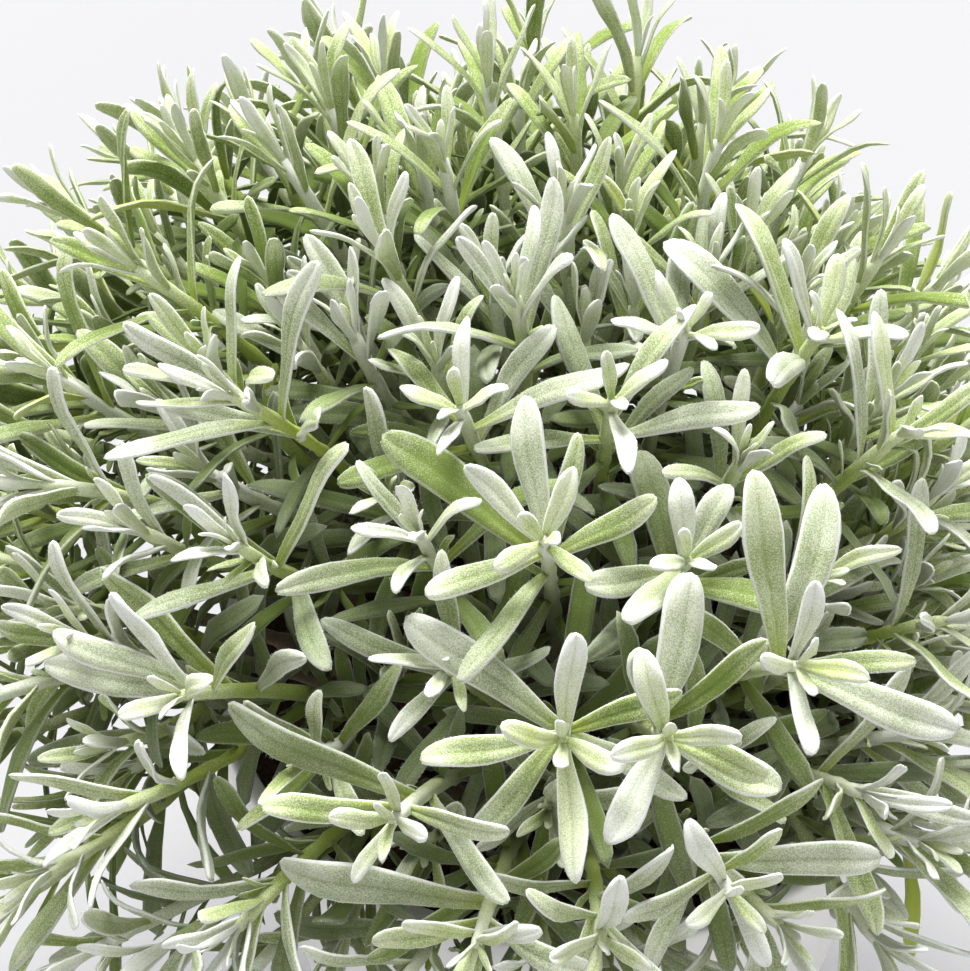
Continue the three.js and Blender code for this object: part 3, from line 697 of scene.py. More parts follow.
def grow_axil_leaves():
    """Here and there, a small leaf beside the foot of a large one."""
    for row, (below, *_) in enumerate(ALL_PAIRS[1:], 1):
        for shoot in shoots:
            share = row_share(shoot, below - AXIL_ABOVE)
            if share * shoot.path.length < LEAST_STEM_LEFT:
                continue
            for side in (row % 2, row % 2 + 2):
                for turn in (-AXIL_TURN, AXIL_TURN):
                    if stream.random() > AXIL_CHANCE:
                        continue
                    wish = vary(shoot, side, AXIL_LENGTH, AXIL_SPREAD, AXIL_BEND, AXIL_AGE, FINE_JITTER)
                    wish["clock"] += turn
                    place_leaf(shoot, share, wish, SMALL_TRIES, SMALL_THICK, SMALL_CLEARANCE)


grow_twigs()
grow_tip_leaves()
grow_lower_pairs()
grow_axil_leaves()

# Blade sections run from one rolled-down edge over the grooved top to the other edge, and back along the
# underside with its midrib; heights are in millimetres for a blade of full width
FULL_HALF_WIDTH = 2.6
MIDDLE = -0.45
SECTION = {
    "fine": [(-1, -0.72), (-0.9, -0.3), (-0.64, 0.06), (-0.3, 0.14), (0, -0.22), (0.3, 0.14),
             (0.64, 0.06), (0.9, -0.3), (1, -0.72), (0.8, -1.1), (0.4, -0.74), (0, -1.25), (-0.4, -0.74),
             (-0.8, -1.1)],
    "plain": [(-1, -0.66), (-0.76, -0.04), (-0.32, 0.12), (0, -0.16), (0.32, 0.12), (0.76, -0.04),
              (1, -0.66), (0.55, -0.95), (0, -1.15), (-0.55, -0.95)],
    "tiny": [(-1, -0.5), (-0.55, 0.06), (0, -0.06), (0.55, 0.06), (1, -0.5), (0.5, -0.95), (-0.5, -0.95)],
}
TOP_POINTS = {"fine": 9, "plain": 7, "tiny": 5}
STATIONS = {
    "fine": np.array([0.02, 0.12, 0.25, 0.4, 0.55, 0.68, 0.79, 0.87, 0.93, 0.975]),
    "plain": np.array([0.03, 0.17, 0.34, 0.52, 0.68, 0.82, 0.91, 0.97]),
    "tiny": np.array([0.05, 0.3, 0.55, 0.78, 0.93]),
}
FINE_FROM_LENGTH = 15
TINY_UP_TO_LENGTH = 9.5
NEAR_SHARE = 0.6
DEEP_FROM_AGE = 0.88

# How a blade departs from the plain arc of its solid: it turns flat where it is narrow, its edges wave, it
# folds along the midrib, twists and curls towards its tip, some hook over, and its middle line ripples
DEPTH_LIMITS = (0.42, 1.1)
FLAT_BELOW_WIDTH = 0.62
FLAT_POWER = 0.8
FULL_TURN = 6.28
EDGE_WAVE = 0.34
EDGE_WAVES = (0.8, 2.2)
FOLD = (-0.15, 0.32)
FOLD_POWER = 1.5
TWIST = (-48, 48)
CURL = (-0.8, 2.8)
HOOK_CURL = 3.4
HOOKED_SHARE = 0.28
CURL_FOR_LENGTH = 30
RIPPLE_PER_LENGTH = 0.022
RIPPLES_UP = 8
RIPPLES_ACROSS = 7
FAR_SLIM = 0.6

# Nearer leaves carry more felt; leaves that lie deep in the mound get painted shade, painted as if older
# and so darker
NEAR_TONES = 0.6
FAR_TONES_FROM = 0.4
SUNK_DEPTH = 42
DEPTH_SHADE = 0.75
SUNK_AT_SHARE = 0.75


def width_profile(t, slim):
    """The share of the half-width along a blade: a narrow base, widest past the middle, a blunt round tip.

    A slim blade has straighter sides and a longer tip.
    """
    body = np.interp(t, [0, 0.1, 0.25, 0.45, 0.62, 0.8, 1], [0.34, 0.4, 0.6, 0.84, 0.98, 1, 0.98])
    straight = np.interp(t, [0, 0.1, 0.25, 0.45, 0.62, 1], [0.38, 0.46, 0.64, 0.84, 0.92, 0.92])
    past = np.clip((t - 0.66) / 0.34, 0, 1)
    slim_past = np.clip((t - 0.6) / 0.4, 0, 1)
    blunt = body * np.sqrt(np.clip(1 - past**2.7, 0, 1))
    return mix(blunt, straight * np.sqrt(np.clip(1 - slim_past**2.4, 0, 1)), slim)


def add_object(name, data):
    made = bpy.data.objects.new(name, data)
    bpy.context.scene.collection.objects.link(made)
    return made


class Tissue:
    """The vertices, faces and painted values of one piece."""

    names = ("tone", "along", "edge", "under", "age", "woody")

    def __init__(self):
        self.points, self.faces, self.paint, self.count = [], [], [], 0

    def add(self, points, faces, **paint):
        values = np.zeros((len(points), len(self.names)), np.float32)
        for i, name in enumerate(self.names):
            values[:, i] = paint.get(name, 0)
        self.points.append(points)
        self.paint.append(values)
        self.faces += [f + self.count for f in faces]
        self.count += len(points)

    def make(self, name, material):
        points = np.concatenate(self.points) * MM
        paint = np.concatenate(self.paint)
        loops = np.concatenate([f.ravel() for f in self.faces]).astype(np.int32)
        sizes = np.concatenate([np.full(len(f), f.shape[1], np.int32) for f in self.faces])
        starts = np.concatenate([[0], np.cumsum(sizes)[:-1]]).astype(np.int32)
        mesh = bpy.data.meshes.new(name)
        mesh.vertices.add(len(points))
        mesh.vertices.foreach_set("co", points.astype(np.float32).ravel())
        mesh.loops.add(len(loops))
        mesh.loops.foreach_set("vertex_index", loops)
        mesh.polygons.add(len(sizes))
        mesh.polygons.foreach_set("loop_start", starts)
        mesh.update(calc_edges=True)
        mesh.shade_smooth()
        for i, value in enumerate(self.names):
            layer = mesh.attributes.new(value, "FLOAT", "POINT")
            layer.data.foreach_set("value", np.ascontiguousarray(paint[:, i]))
        mesh.materials.append(material)
        return add_object(name, mesh)


def tube_faces(rings, around):
    """Quads between the rings of a closed tube, and a fan at either end round the two last vertices."""
    i = np.arange(rings - 1)[:, None] * around
    j = np.arange(around)
    k = (j + 1) % around
    quads = np.stack([i + j, i + k, i + around + k, i + around + j], -1).reshape(-1, 4)
    low, high, last = rings * around, rings * around + 1, (rings - 1) * around
    low_fan = np.stack([np.full(around, low), k, j], -1)
    high_fan = np.stack([np.full(around, high), last + j, last + k], -1)
    return [quads, np.concatenate([low_fan, high_fan])]


FACES = {kind: tube_faces(len(STATIONS[kind]), len(SECTION[kind])) for kind in SECTION}


def blade_skin(leaf, t, u, height):
    """Points of a blade's surface at shares t of its length, by section places u and heights."""
    point, across, face = leaf.frames(t)
    widths = width_profile(t, leaf.slim)[:, None]
    t = t[:, None]
    flat = np.clip(widths / FLAT_BELOW_WIDTH, 0, 1) ** FLAT_POWER
    z = leaf.deep * (MIDDLE + (height - MIDDLE) * flat)
    z = z + EDGE_WAVE * leaf.deep * np.sin(FULL_TURN * leaf.waves * t + leaf.phase) * u**2 * np.sign(u)
    x = leaf.half_width * widths * u
    z = z + leaf.fold * leaf.half_width * widths * np.abs(u) ** FOLD_POWER
    turn = leaf.twist * t**2
    x, z = x * np.cos(turn) - z * np.sin(turn), x * np.sin(turn) + z * np.cos(turn)
    z = z - leaf.curl * t**4 + leaf.ripple * t * np.sin(RIPPLES_UP * t + leaf.phase)
    x = x + leaf.ripple * t * np.cos(RIPPLES_ACROSS * t + leaf.phase)
    return point[:, None] + across[:, None] * x[..., None] + face[:, None] * z[..., None]


def blade_kind(near, leaf):
    if leaf.length < TINY_UP_TO_LENGTH or leaf.age > DEEP_FROM_AGE:
        return "tiny"
    return "fine" if near else "plain"


def vary_blade(leaf, near):
    leaf.deep = min(DEPTH_LIMITS[1], max(DEPTH_LIMITS[0], leaf.half_width / FULL_HALF_WIDTH))
    leaf.phase = stream.random() * FULL_TURN
    leaf.waves = mix(*EDGE_WAVES, stream.random())
    leaf.curl = mix(*CURL, stream.random())
    if stream.random() < HOOKED_SHARE:
        leaf.curl += HOOK_CURL
    leaf.curl *= leaf.length / CURL_FOR_LENGTH
    leaf.ripple = RIPPLE_PER_LENGTH * leaf.length
    leaf.twist = math.radians(mix(*TWIST, stream.random()))
    leaf.fold = mix(*FOLD, stream.random())
    leaf.slim = 0 if near else FAR_SLIM


def add_blade(tissue, shoot, leaf):
    near = shoot.way @ NEAR_SIDE > NEAR_SHARE and leaf.length > FINE_FROM_LENGTH
    kind = blade_kind(near, leaf)
    vary_blade(leaf, near)
    t, section = STATIONS[kind], np.array(SECTION[kind])
    u, height = section[:, 0], section[:, 1]
    # How deep the leaf lies in the mound, which adds painted shade to it as if it were older
    out = leaf.frames(np.array([SUNK_AT_SHARE]))[0][0] - crown
    depth_shade = float(np.clip((reach_of(unit(out)) - np.linalg.norm(out)) / SUNK_DEPTH, 0, 1))
    ring = blade_skin(leaf, t, u, height).reshape(-1, 3)
    ends = blade_skin(leaf, np.array([0.0, 1.0]), np.zeros(1), np.full(1, MIDDLE)).reshape(-1, 3)
    around, tone = len(section), stream.random()
    tone = tone * NEAR_TONES if near else mix(FAR_TONES_FROM, 1, tone)
    under = np.tile((np.arange(around) >= TOP_POINTS[kind]).astype(float), len(t))
    tissue.add(
        np.concatenate([ring, ends]),
        FACES[kind],
        tone=tone,
        along=np.append(np.repeat(t, around), [0, 1]),
        edge=np.append(np.tile(np.abs(u), len(t)), [0, 1]),
        under=np.append(under, [0.5, 0.5]),
        age=min(1, leaf.age + DEPTH_SHADE * depth_shade),
    )
    if kind == "fine":
        add_hairs(tissue, leaf, tone)


# Felt hairs that stand out from the edges and the tip of the nearer leaves: slim pyramids with three sides
HAIRS_PER_LENGTH = 2.6
HAIR_HALF_WIDTH = 0.055
HAIR_LENGTH = (0.22, 0.5)
HAIR_SUNK = 0.12
HAIR_CORNERS = [(1, 0), (-0.5, 0.87), (-0.5, -0.87)]
HAIR_FACES = np.array([[0, 2, 1], [0, 1, 3], [1, 2, 3], [2, 0, 3]])
HAIR_SPAN = (0.06, 0.985)
HAIR_SPREAD = 0.92
HAIR_CROWDING = 1.5
HAIR_EDGE = (0.86, 0.99)
HAIR_HEIGHT = -0.55
HAIR_TIP_FROM = 0.8
HAIR_FORWARD = 0.15
HAIR_RISE = (-0.5, 0.9)
HAIR_DISORDER = 0.25
hair_chance = np.random.default_rng(11)


def add_hairs(tissue, leaf, tone):
    count = int(leaf.length * HAIRS_PER_LENGTH)
    t = np.clip(1 - hair_chance.random(count) ** HAIR_CROWDING * HAIR_SPREAD, *HAIR_SPAN)
    side = np.where(hair_chance.random(count) < 0.5, -1.0, 1.0)[:, None]
    u = side * hair_chance.uniform(*HAIR_EDGE, (count, 1))
    root = blade_skin(leaf, t, u, np.full((count, 1), HAIR_HEIGHT))[:, 0]
    _, across, face = leaf.frames(t)
    ahead = np.cross(across, face)
    towards_tip = np.clip((t[:, None] - HAIR_TIP_FROM) / (1 - HAIR_TIP_FROM), 0, 1) ** 2
    way = (
        across * side * (1 - 0.5 * towards_tip)
        - ahead * (HAIR_FORWARD + towards_tip)
        + face * hair_chance.uniform(*HAIR_RISE, (count, 1))
        + hair_chance.normal(0, HAIR_DISORDER, (count, 3))
    )
    way /= np.linalg.norm(way, axis=1, keepdims=True)
    beside = np.cross(way, face)
    beside /= np.linalg.norm(beside, axis=1, keepdims=True)
    above = np.cross(way, beside)
    length = hair_chance.uniform(*HAIR_LENGTH, (count, 1))
    base = root - way * HAIR_SUNK
    corners = [base + (beside * x + above * y) * HAIR_HALF_WIDTH for x, y in HAIR_CORNERS]
    points = np.stack([*corners, root + way * length], axis=1)
    faces = (np.arange(count)[:, None, None] * (len(corners) + 1) + HAIR_FACES).reshape(-1, 3)
    tissue.add(points.reshape(-1, 3), [faces], tone=tone, along=1, edge=1, under=0.5, age=0)


STEM_ROUNDNESS = 5
STEM_SWELL = 0.32
SWELL_LENGTH = 1.3
LOWEST_NODE = 0.02
FOOT_BELOW = 4
FOOT_FLARE = 1.15
STEM_TIP = 0.6
OLD_BELOW = 40
WOODY_OVER = 40
LEAST_WOODY = 0.25
# Sides, steps, how far below its tip a stem begins to turn woody, and how woody it gets
MAIN_STEM = (12, 16, 42, 1)
SIDE_STEM = (8, 7, 50, 0.6)
STEM_PAINT = {"along": 0.16, "edge": 0.2, "under": 0.9}


def add_stem(tissue, shoot):
    """A square stem with round corners that swells a little where each pair of leaves grows."""
    around, steps, woody_below, woodiness = MAIN_STEM if shoot.is_main else SIDE_STEM
    angle = np.arange(around) * 2 * math.pi / around
    across, up = np.cos(angle), np.sin(angle)
    square = (np.abs(across) ** STEM_ROUNDNESS + np.abs(up) ** STEM_ROUNDNESS) ** (-1 / STEM_ROUNDNESS)
    nodes = [row_share(shoot, pair[0]) for pair in ALL_PAIRS]
    shares = np.unique(np.round([*np.linspace(0, 1, steps), *[n for n in nodes if n > LOWEST_NODE]], 4))
    rings, along = [], []
    if shoot.is_main:
        start = shoot.path.point(0) - shoot.path.forward(0) * FOOT_BELOW
        rings.append((start, 0, shoot.half(0) * FOOT_FLARE))
        along.append(0)
    for share in shares:
        swell = sum(math.exp(-(((share - n) * shoot.path.length / SWELL_LENGTH) ** 2)) for n in nodes)
        rings.append((shoot.path.point(share), share, shoot.half(share) * (1 + STEM_SWELL * swell)))
        along.append(share)
    points = []
    for centre, share, half in rings:
        top = out_of(shoot.path, share, shoot.clock)
        side = cross(shoot.path.forward(share), top)
        points.append(centre + half * square[:, None] * (across[:, None] * top + up[:, None] * side))
    points.append([rings[0][0], rings[-1][0] + shoot.path.forward(1) * STEM_TIP])
    along = np.append(np.repeat(along, around), [0, 1])
    below = (1 - along) * shoot.path.length
    woody = np.clip((below - woody_below) / WOODY_OVER, 0, 1) * woodiness
    # The lower stem, where it is not woody, is painted darker as shade inside the mound
    tissue.add(
        np.concatenate(points),
        tube_faces(len(rings), around),
        tone=stream.random(),
        age=np.clip(below / OLD_BELOW, 0, 1),
        woody=mix(LEAST_WOODY, 1, woody),
        **STEM_PAINT,
    )


# Materials


class Nodes:
    """Short names for the nodes of one material."""

    def __init__(self, name):
        self.material = bpy.data.materials.new(name)
        self.material.use_nodes = True
        self.tree = self.material.node_tree
        self.tree.nodes.clear()
        self.shader = self.node("BsdfPrincipled")
        self.node("OutputMaterial", Surface=self.shader.outputs[0])
        self.place = self.node("TexCoord").outputs["Object"]

    def put(self, socket, value):
        if isinstance(value, bpy.types.NodeSocket):
            self.tree.links.new(value, socket)
        elif isinstance(value, tuple):
            is_colour = len(value) == 3 and len(socket.default_value) == 4
            socket.default_value = (*value, 1) if is_colour else value
        else:
            socket.default_value = value

    def fill(self, node, values):
        """Sets or links the node's inputs by name, where a low line stands for a space."""
        for name, value in values.items():
            self.put(node.inputs[name.replace("_", " ")], value)
        return node

    def node(self, kind, **values):
        return self.fill(self.tree.nodes.new(f"ShaderNode{kind}"), values)

    def painted(self, name):
        node = self.node("Attribute")
        node.attribute_name = name
        return node.outputs["Fac"]

    def noise(self, scale, detail=2.0, roughness=0.5):
        node = self.node("TexNoise", Vector=self.place, Scale=scale, Detail=detail, Roughness=roughness)
        return node.outputs["Fac"]

    def math(self, operation, a, b):
        node = self.node("Math")
        node.operation = operation
        self.put(node.inputs[0], a)
        self.put(node.inputs[1], b)
        return node.outputs[0]

    def total(self, first, *others):
        """The sum of the values, kept between 0 and 1."""
        for value in others:
            first = self.math("ADD", first, value)
        first.node.use_clamp = True
        return first

    def fade(self, value, low, high, bottom=0.0, top=1.0):
        node = self.node("MapRange", Value=value, From_Min=low, From_Max=high, To_Min=bottom, To_Max=top)
        node.interpolation_type = "SMOOTHSTEP"
        return node.outputs[0]

    def blend(self, share, a, b):
        node = self.node("Mix", Factor=share)
        node.data_type = "RGBA"
        self.put(node.inputs[6], a)
        self.put(node.inputs[7], b)
        return node.outputs[2]

    def bump(self, height, strength, distance):
        node = self.node("Bump", Strength=strength, Distance=distance, Height=height)
        self.put(self.shader.inputs["Normal"], node.outputs[0])

    def set(self, **values):
        self.fill(self.shader, values)
        return self.material


def felt_material():
    n = Nodes("felted_leaf")
    tone, along, edge = n.painted("tone"), n.painted("along"), n.painted("edge")
    under, age, woody = n.painted("under"), n.painted("age"), n.painted("woody")
    grain = n.noise(4200, 3, 0.6)
    broad = n.noise(140, 2)
    # Green darkens and the felt thins as a leaf gets older, and also with the painted shade of leaves that
    # lie deep in the mound
    green = n.blend(n.fade(age, 0.0, 0.6), (0.36, 0.45, 0.12), (0.21, 0.295, 0.045))
    green = n.blend(n.fade(tone, 0.15, 0.7, 0.85, 0.1), green, (0.215, 0.26, 0.125))
    green = n.blend(n.fade(tone, 0.45, 0.85, 0, 0.4), green, (0.13, 0.195, 0.025))
    green = n.blend(n.fade(tone, 0.965, 0.98), green, (0.4, 0.47, 0.07))
    green = n.blend(n.fade(along, 0.0, 0.45, 0.85, 0.0), green, (0.34, 0.43, 0.06))
    cover = n.total(
        n.fade(age, 0.0, 0.5, 0.42, 0.0),
        n.fade(age, 0.5, 1.0, 0.18, 0.03),
        n.fade(edge, 0.8, 0.97, 0.0, 0.62),
        n.fade(along, 0.6, 1.0, 0.0, 0.28),
        n.math("MULTIPLY", under, 0.12),
        n.fade(along, 0.0, 0.3, -0.16, 0.0),
        n.fade(edge, 0.0, 0.18, -0.12, 0.0),
        n.fade(broad, 0.3, 0.7, -0.09, 0.09),
        n.fade(tone, 0.0, 1.0, 0.25, -0.14),
        n.fade(grain, 0.34, 0.68, -0.22, 0.22),
    )
    thin_felt = n.blend(n.fade(tone, 0.15, 0.6, 0.8, 0), (0.6, 0.66, 0.405), (0.555, 0.59, 0.475))
    colour = n.blend(n.fade(cover, 0.0, 0.65), green, thin_felt)
    colour = n.blend(n.fade(cover, 0.5, 1.0), colour, (0.76, 0.77, 0.735))
    # Painted shade: leaves low on their stems or deep in the mound, and the lower stems, blend towards a
    # near-black green, as shade falls inside the mound
    colour = n.blend(n.fade(age, 0.6, 1.0, 0.0, 0.72), colour, (0.07, 0.105, 0.018))
    wood = n.blend(n.fade(grain, 0.3, 0.7), (0.13, 0.085, 0.05), (0.3, 0.23, 0.15))
    colour = n.blend(n.fade(woody, 0.3, 0.9), colour, wood)
    n.bump(n.noise(3600, 1), 0.5, 0.00018)
    return n.set(
        Base_Color=colour,
        Roughness=0.85,
        Specular_IOR_Level=0.2,
        Sheen_Weight=0.22,
        Sheen_Roughness=0.4,
        Sheen_Tint=(1.0, 1.0, 0.97),
    )


def pot_material():
    n = Nodes("white_pot_plastic")
    broad, fine = n.noise(22, 3), n.noise(900, 2)
    colour = n.blend(n.fade(broad, 0.3, 0.7), (0.8, 0.79, 0.76), (0.86, 0.855, 0.83))
    n.bump(fine, 0.12, 0.0001)
    return n.set(Base_Color=colour, Roughness=n.fade(broad, 0.3, 0.7, 0.36, 0.46), Specular_IOR_Level=0.45)


def soil_material():
    n = Nodes("damp_potting_mix")
    grit, clod = n.noise(900, 5, 0.7), n.noise(170, 3)
    tone = n.painted("tone")
    colour = n.blend(n.fade(grit, 0.3, 0.72), (0.018, 0.011, 0.007), (0.085, 0.05, 0.028))
    colour = n.blend(n.fade(clod, 0.35, 0.7, 0, 0.5), colour, (0.05, 0.03, 0.018))
    colour = n.blend(n.fade(tone, 0.1, 0.5), colour, n.blend(grit, (0.1, 0.055, 0.028), (0.2, 0.12, 0.065)))
    colour = n.blend(n.fade(tone, 0.75, 0.9), colour, (0.72, 0.7, 0.66))
    n.bump(grit, 0.8, 0.0009)
    return n.set(Base_Color=colour, Roughness=0.93, Specular_IOR_Level=0.2)


def floor_material():
    n = Nodes("pale_floor")
    broad = n.noise(3, 2)
    colour = n.blend(n.fade(broad, 0.3, 0.7), (0.35, 0.347, 0.354), (0.36, 0.357, 0.364))
    return n.set(Base_Color=colour, Roughness=0.9, Specular_IOR_Level=0.1)


felt = felt_material()
pieces = {}
for shoot in shoots:
    tissue = pieces.setdefault(shoot.stem, Tissue())
    add_stem(tissue, shoot)
    for leaf in shoot.leaves:
        add_blade(tissue, shoot, leaf)
mains = [shoot for shoot in shoots if shoot.is_main]
for i, shoot in enumerate(mains, 1):
    node = f"leafy_stem_{i:02d}"
    piece = pieces[shoot.stem].make(f"{node}_felted", felt)
    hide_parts(node)
    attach(piece, "root")

# Pot: a turned wall, from its foot up over the rim and down inside, and a floor plate with its drain holes
POT_SIDES = 144
POT_PROFILE = [
    (50.6, 0), (51.6, 0.3), (52.1, 1.0), (57.2, 35), (62.4, 70), (67.2, 104), (69.0, 115.4),
    (69.3, 116.6), (70.0, 117.0), (72.9, 117.05), (73.4, 117.4), (73.55, 118.2), (73.85, 126.5),
    (74.0, 128.4), (73.85, 129.3), (73.3, 129.85), (72.6, 130), (71.1, 129.9), (70.4, 129.5),
    (70.0, 128.7), (68.2, 117), (63.0, 80), (56.0, 32), (51.0, 3.4), (50.0, 2.4),
]
HUB_RADIUS = 20
HUB_STEPS = 12
SPOKE_STEPS = 6
HOLE_RINGS = [(DRAIN_HOLE_RADIUS + 0.5, 0), (DRAIN_HOLE_RADIUS, 0), (DRAIN_HOLE_RADIUS, 0.3)]


def on_circle(radius, angles, z):
    return np.stack([radius * np.cos(angles), radius * np.sin(angles), np.full(len(angles), float(z))], -1)


def plate_loops(hole, outer, z, inward):
    """Loops round one drain hole: the edge of its share of the floor plate, then rings closing on it."""
    width = 2 * math.pi / DRAIN_HOLES
    low, high = (hole - 0.5) * width, (hole + 0.5) * width
    radii = np.linspace(outer, HUB_RADIUS, SPOKE_STEPS + 1)
    edge = np.concatenate([
        on_circle(outer, np.linspace(low, high, POT_SIDES // DRAIN_HOLES + 1)[:-1], z),
        radii[:-1, None] * [math.cos(high), math.sin(high), 0] + UP * z,
        on_circle(HUB_RADIUS, np.linspace(high, low, HUB_STEPS + 1)[:-1], z),
        radii[:0:-1, None] * [math.cos(low), math.sin(low), 0] + UP * z,
    ])
    centre = np.array([math.cos(hole * width), math.sin(hole * width), 0]) * DRAIN_CIRCLE_RADIUS
    seen = np.arctan2(edge[:, 1] - centre[1], edge[:, 0] - centre[0])
    return [edge] + [on_circle(radius, seen, z + inward * step) + centre for radius, step in HOLE_RINGS]


def make_pot():
    """All the skins of the pot, joined where their points meet."""
    angles = np.arange(POT_SIDES) * 2 * math.pi / POT_SIDES
    skins = [(np.concatenate([on_circle(r, angles, z) for r, z in POT_PROFILE]),
              tube_faces(len(POT_PROFILE), POT_SIDES)[0])]
    hub_angles = np.arange(HUB_STEPS * DRAIN_HOLES) * 2 * math.pi / (HUB_STEPS * DRAIN_HOLES)
    step = np.arange(len(hub_angles))
    for (outer, z), inward in ((POT_PROFILE[0], 1), (POT_PROFILE[-1], -1)):
        hub = np.concatenate([on_circle(HUB_RADIUS, hub_angles - math.pi / DRAIN_HOLES, z), [UP * z]])
        fan = np.stack([np.roll(step, -1), step, np.full(len(step), len(step))], -1)
        skins.append((hub, fan if inward > 0 else fan[:, ::-1]))
    for hole in range(DRAIN_HOLES):
        loops = plate_loops(hole, *POT_PROFILE[0], 1) + plate_loops(hole, *POT_PROFILE[-1], -1)[::-1]
        around = len(loops[0])
        skins.append((np.concatenate(loops), tube_faces(len(loops), around)[0][:, ::-1]))
    points = np.concatenate([p for p, _ in skins])
    starts = np.cumsum([0] + [len(p) for p, _ in skins])
    points, merged = np.unique(np.round(points, 4), axis=0, return_inverse=True)
    merged = merged.reshape(-1)
    return points, [merged[faces + start] for (_, faces), start in zip(skins, starts)]


pot = Tissue()
pot.add(*make_pot())
pot_piece = pot.make("white_pot", pot_material())
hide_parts("pot")
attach(pot_piece, "root")

# Soil: a rough surface of clods, with bark chips and pale grains on it
SOIL_RINGS = 60
SOIL_SIDES = 200
SOIL_EDGE = 67.4
SOIL_MIDDLE = 0.9
SOIL_SINK = 0.6
WAVES_PER_LENGTH = 7
CLOD_SIZES = [14, 7, 3.2, 1.7]
CLOD_HEIGHT = 1.5
CRUMB_HEIGHT = 0.25
SOIL_SIDE_PROFILE = [(49.4, 2.8), (60.0, 62.0), (67.6, 116.0)]
CHIP_SPREAD = 61
CHIP_ROUGHNESS = 0.22
CHIP_FACE_OUT = 1.25
CHIP_LIFT = 0.1
CHIPS = {
    "bark": {"count": 420, "sizes": (1.1, 3.0), "shape": [1.5, 0.8, 0.45], "tone": 0.4},
    "grain": {"count": 110, "sizes": (0.7, 1.5), "shape": [1, 0.9, 0.8], "tone": 1.0},
}
chance = np.random.default_rng(7)


def smooth_random(radius, angle, waves, height):
    """A rough surface: waves of several lengths in random directions."""
    total = np.zeros_like(radius)
    x, y = radius * np.cos(angle), radius * np.sin(angle)
    for wave in waves:
        for _ in range(WAVES_PER_LENGTH):
            way, phase = chance.uniform(0, 2 * math.pi), chance.uniform(0, 2 * math.pi)
            total += np.sin((x * math.cos(way) + y * math.sin(way)) * 2 * math.pi / wave + phase) * wave
    return height * total / np.abs(total).max()


def soil_height(radius):
    return np.interp(radius, [0, 42, 69], [SOIL_TOP + SOIL_CROWN, SOIL_TOP + 2, SOIL_TOP])


soil = Tissue()
ring_radii = np.linspace(SOIL_EDGE, SOIL_MIDDLE, SOIL_RINGS)
angle = np.arange(SOIL_SIDES) * 2 * math.pi / SOIL_SIDES
radius_grid, angle_grid = np.meshgrid(ring_radii, angle, indexing="ij")
rough = smooth_random(radius_grid, angle_grid, CLOD_SIZES, CLOD_HEIGHT)
rough += chance.uniform(-CRUMB_HEIGHT, CRUMB_HEIGHT, radius_grid.shape)
height_grid = soil_height(radius_grid) - SOIL_SINK + rough
rings = [on_circle(r, angle, z) for r, z in SOIL_SIDE_PROFILE]
rings += [
    np.stack([radius_grid[i] * np.cos(angle), radius_grid[i] * np.sin(angle), height_grid[i]], -1)
    for i in range(SOIL_RINGS)
]
points = np.concatenate([*rings, [[0, 0, SOIL_SIDE_PROFILE[0][1]], [0, 0, height_grid[-1].mean()]]])
soil.add(points, tube_faces(len(rings), SOIL_SIDES))


def add_chip(centre, size, tone):
    """A small rough lump: a squashed and jittered box whose faces stand out to a point."""
    corners = np.array([[x, y, z] for x in (-1, 1) for y in (-1, 1) for z in (-1, 1)], float)
    middles = np.array([way for axis in np.eye(3) for way in (axis, -axis)]) * CHIP_FACE_OUT
    rough = chance.uniform(-CHIP_ROUGHNESS, CHIP_ROUGHNESS, (14, 1))
    points = np.concatenate([corners, middles]) * (1 + rough) * size
    turn, _ = np.linalg.qr(chance.normal(size=(3, 3)))
    quads = [(4, 6, 7, 5, 8), (0, 1, 3, 2, 9), (2, 3, 7, 6, 10)]
    quads += [(0, 4, 5, 1, 11), (1, 5, 7, 3, 12), (0, 2, 6, 4, 13)]
    faces = [(q[i], q[(i + 1) % 4], q[4]) for q in quads for i in range(4)]
    soil.add(points @ turn.T + centre, [np.array(faces)], tone=tone)


for chip in CHIPS.values():
    for _ in range(chip["count"]):
        radius, bearing = CHIP_SPREAD * math.sqrt(chance.random()), chance.uniform(0, 360)
        size = chance.uniform(*chip["sizes"])
        centre = compass(bearing) * radius + UP * (float(soil_height(radius)) + CHIP_LIFT)
        add_chip(centre, size * np.array(chip["shape"]), chip["tone"])
soil_piece = soil.make("potting_mix_surface", soil_material())
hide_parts("soil")
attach(soil_piece, "root")

# Floor, light and camera
FLOOR_HALF = 20.0
WALL_GLOW = 0.95
CEILING_GLOW = 0.36
floor_mesh = bpy.data.meshes.new("floor")
floor_mesh.from_pydata(
    [(-FLOOR_HALF, -FLOOR_HALF, 0), (FLOOR_HALF, -FLOOR_HALF, 0), (FLOOR_HALF, FLOOR_HALF, 0),
     (-FLOOR_HALF, FLOOR_HALF, 0)], [], [(0, 1, 2, 3)]
)
floor_mesh.materials.append(floor_material())
floor = add_object("floor", floor_mesh)

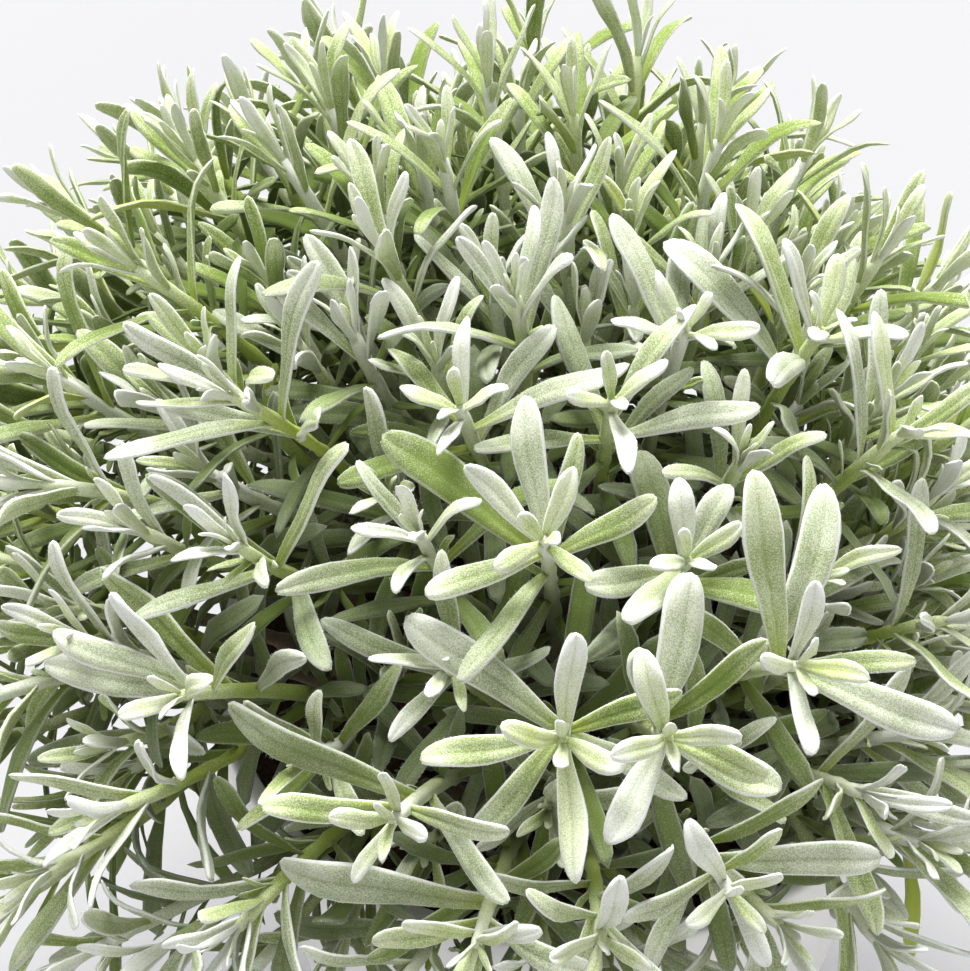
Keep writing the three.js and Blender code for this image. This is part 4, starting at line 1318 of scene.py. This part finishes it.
world = bpy.data.worlds.new("studio")
bpy.context.scene.world = world
world.use_nodes = True
nodes, link = world.node_tree.nodes, world.node_tree.links.new
backdrop, coordinate = nodes["Background"], nodes.new("ShaderNodeTexCoord")
split, ring = nodes.new("ShaderNodeSeparateXYZ"), nodes.new("ShaderNodeMapRange")
ring.interpolation_type = "SMOOTHSTEP"
for name, value in (("From Min", 0.0), ("From Max", 0.5), ("To Min", WALL_GLOW), ("To Max", CEILING_GLOW)):
    ring.inputs[name].default_value = value
link(coordinate.outputs["Generated"], split.inputs[0])
link(split.outputs["Z"], ring.inputs["Value"])
link(ring.outputs["Result"], backdrop.inputs["Strength"])
backdrop.inputs["Color"].default_value = (0.94, 0.945, 0.97, 1)


def add_sun(name, way, angle, strength):
    """A far soft light that shines along way, so the whole floor is lit alike."""
    data = bpy.data.lights.new(name, "SUN")
    data.angle, data.energy = math.radians(angle), strength
    light = add_object(name, data)
    light.location = -2 * np.array(way)
    light.rotation_euler = Vector(way).to_track_quat("-Z", "Y").to_euler()


add_sun("key", (0.12, -0.58, -1.1), 38, 7.4)
add_sun("fill", (-0.3, 1.1, -0.85), 60, 0.7)

PHOTO_SIZE = (970, 971)
FOCAL_PIXELS = 3072
CROWN_AT_PIXEL = (570, 690)
ELEVATION = 45
DISTANCE = 640
SENSOR = 36
camera_data = bpy.data.cameras.new("camera")
camera_data.sensor_width = SENSOR
camera_data.lens = SENSOR * FOCAL_PIXELS / PHOTO_SIZE[0]
camera = add_object("camera", camera_data)
forward = np.array([0, cos(ELEVATION), -sin(ELEVATION)])
up = np.array([0, sin(ELEVATION), cos(ELEVATION)])
right = np.array([1.0, 0, 0])
scale = DISTANCE / FOCAL_PIXELS
beside, below = (at - size / 2 for at, size in zip(CROWN_AT_PIXEL, PHOTO_SIZE))
place = crown - right * beside * scale + up * below * scale - forward * DISTANCE
camera.location = place * MM
camera.rotation_euler = (math.radians(90 - ELEVATION), 0, 0)
camera_data.clip_start = 0.01
bpy.context.scene.camera = camera
bpy.context.scene.view_settings.view_transform = "Standard"
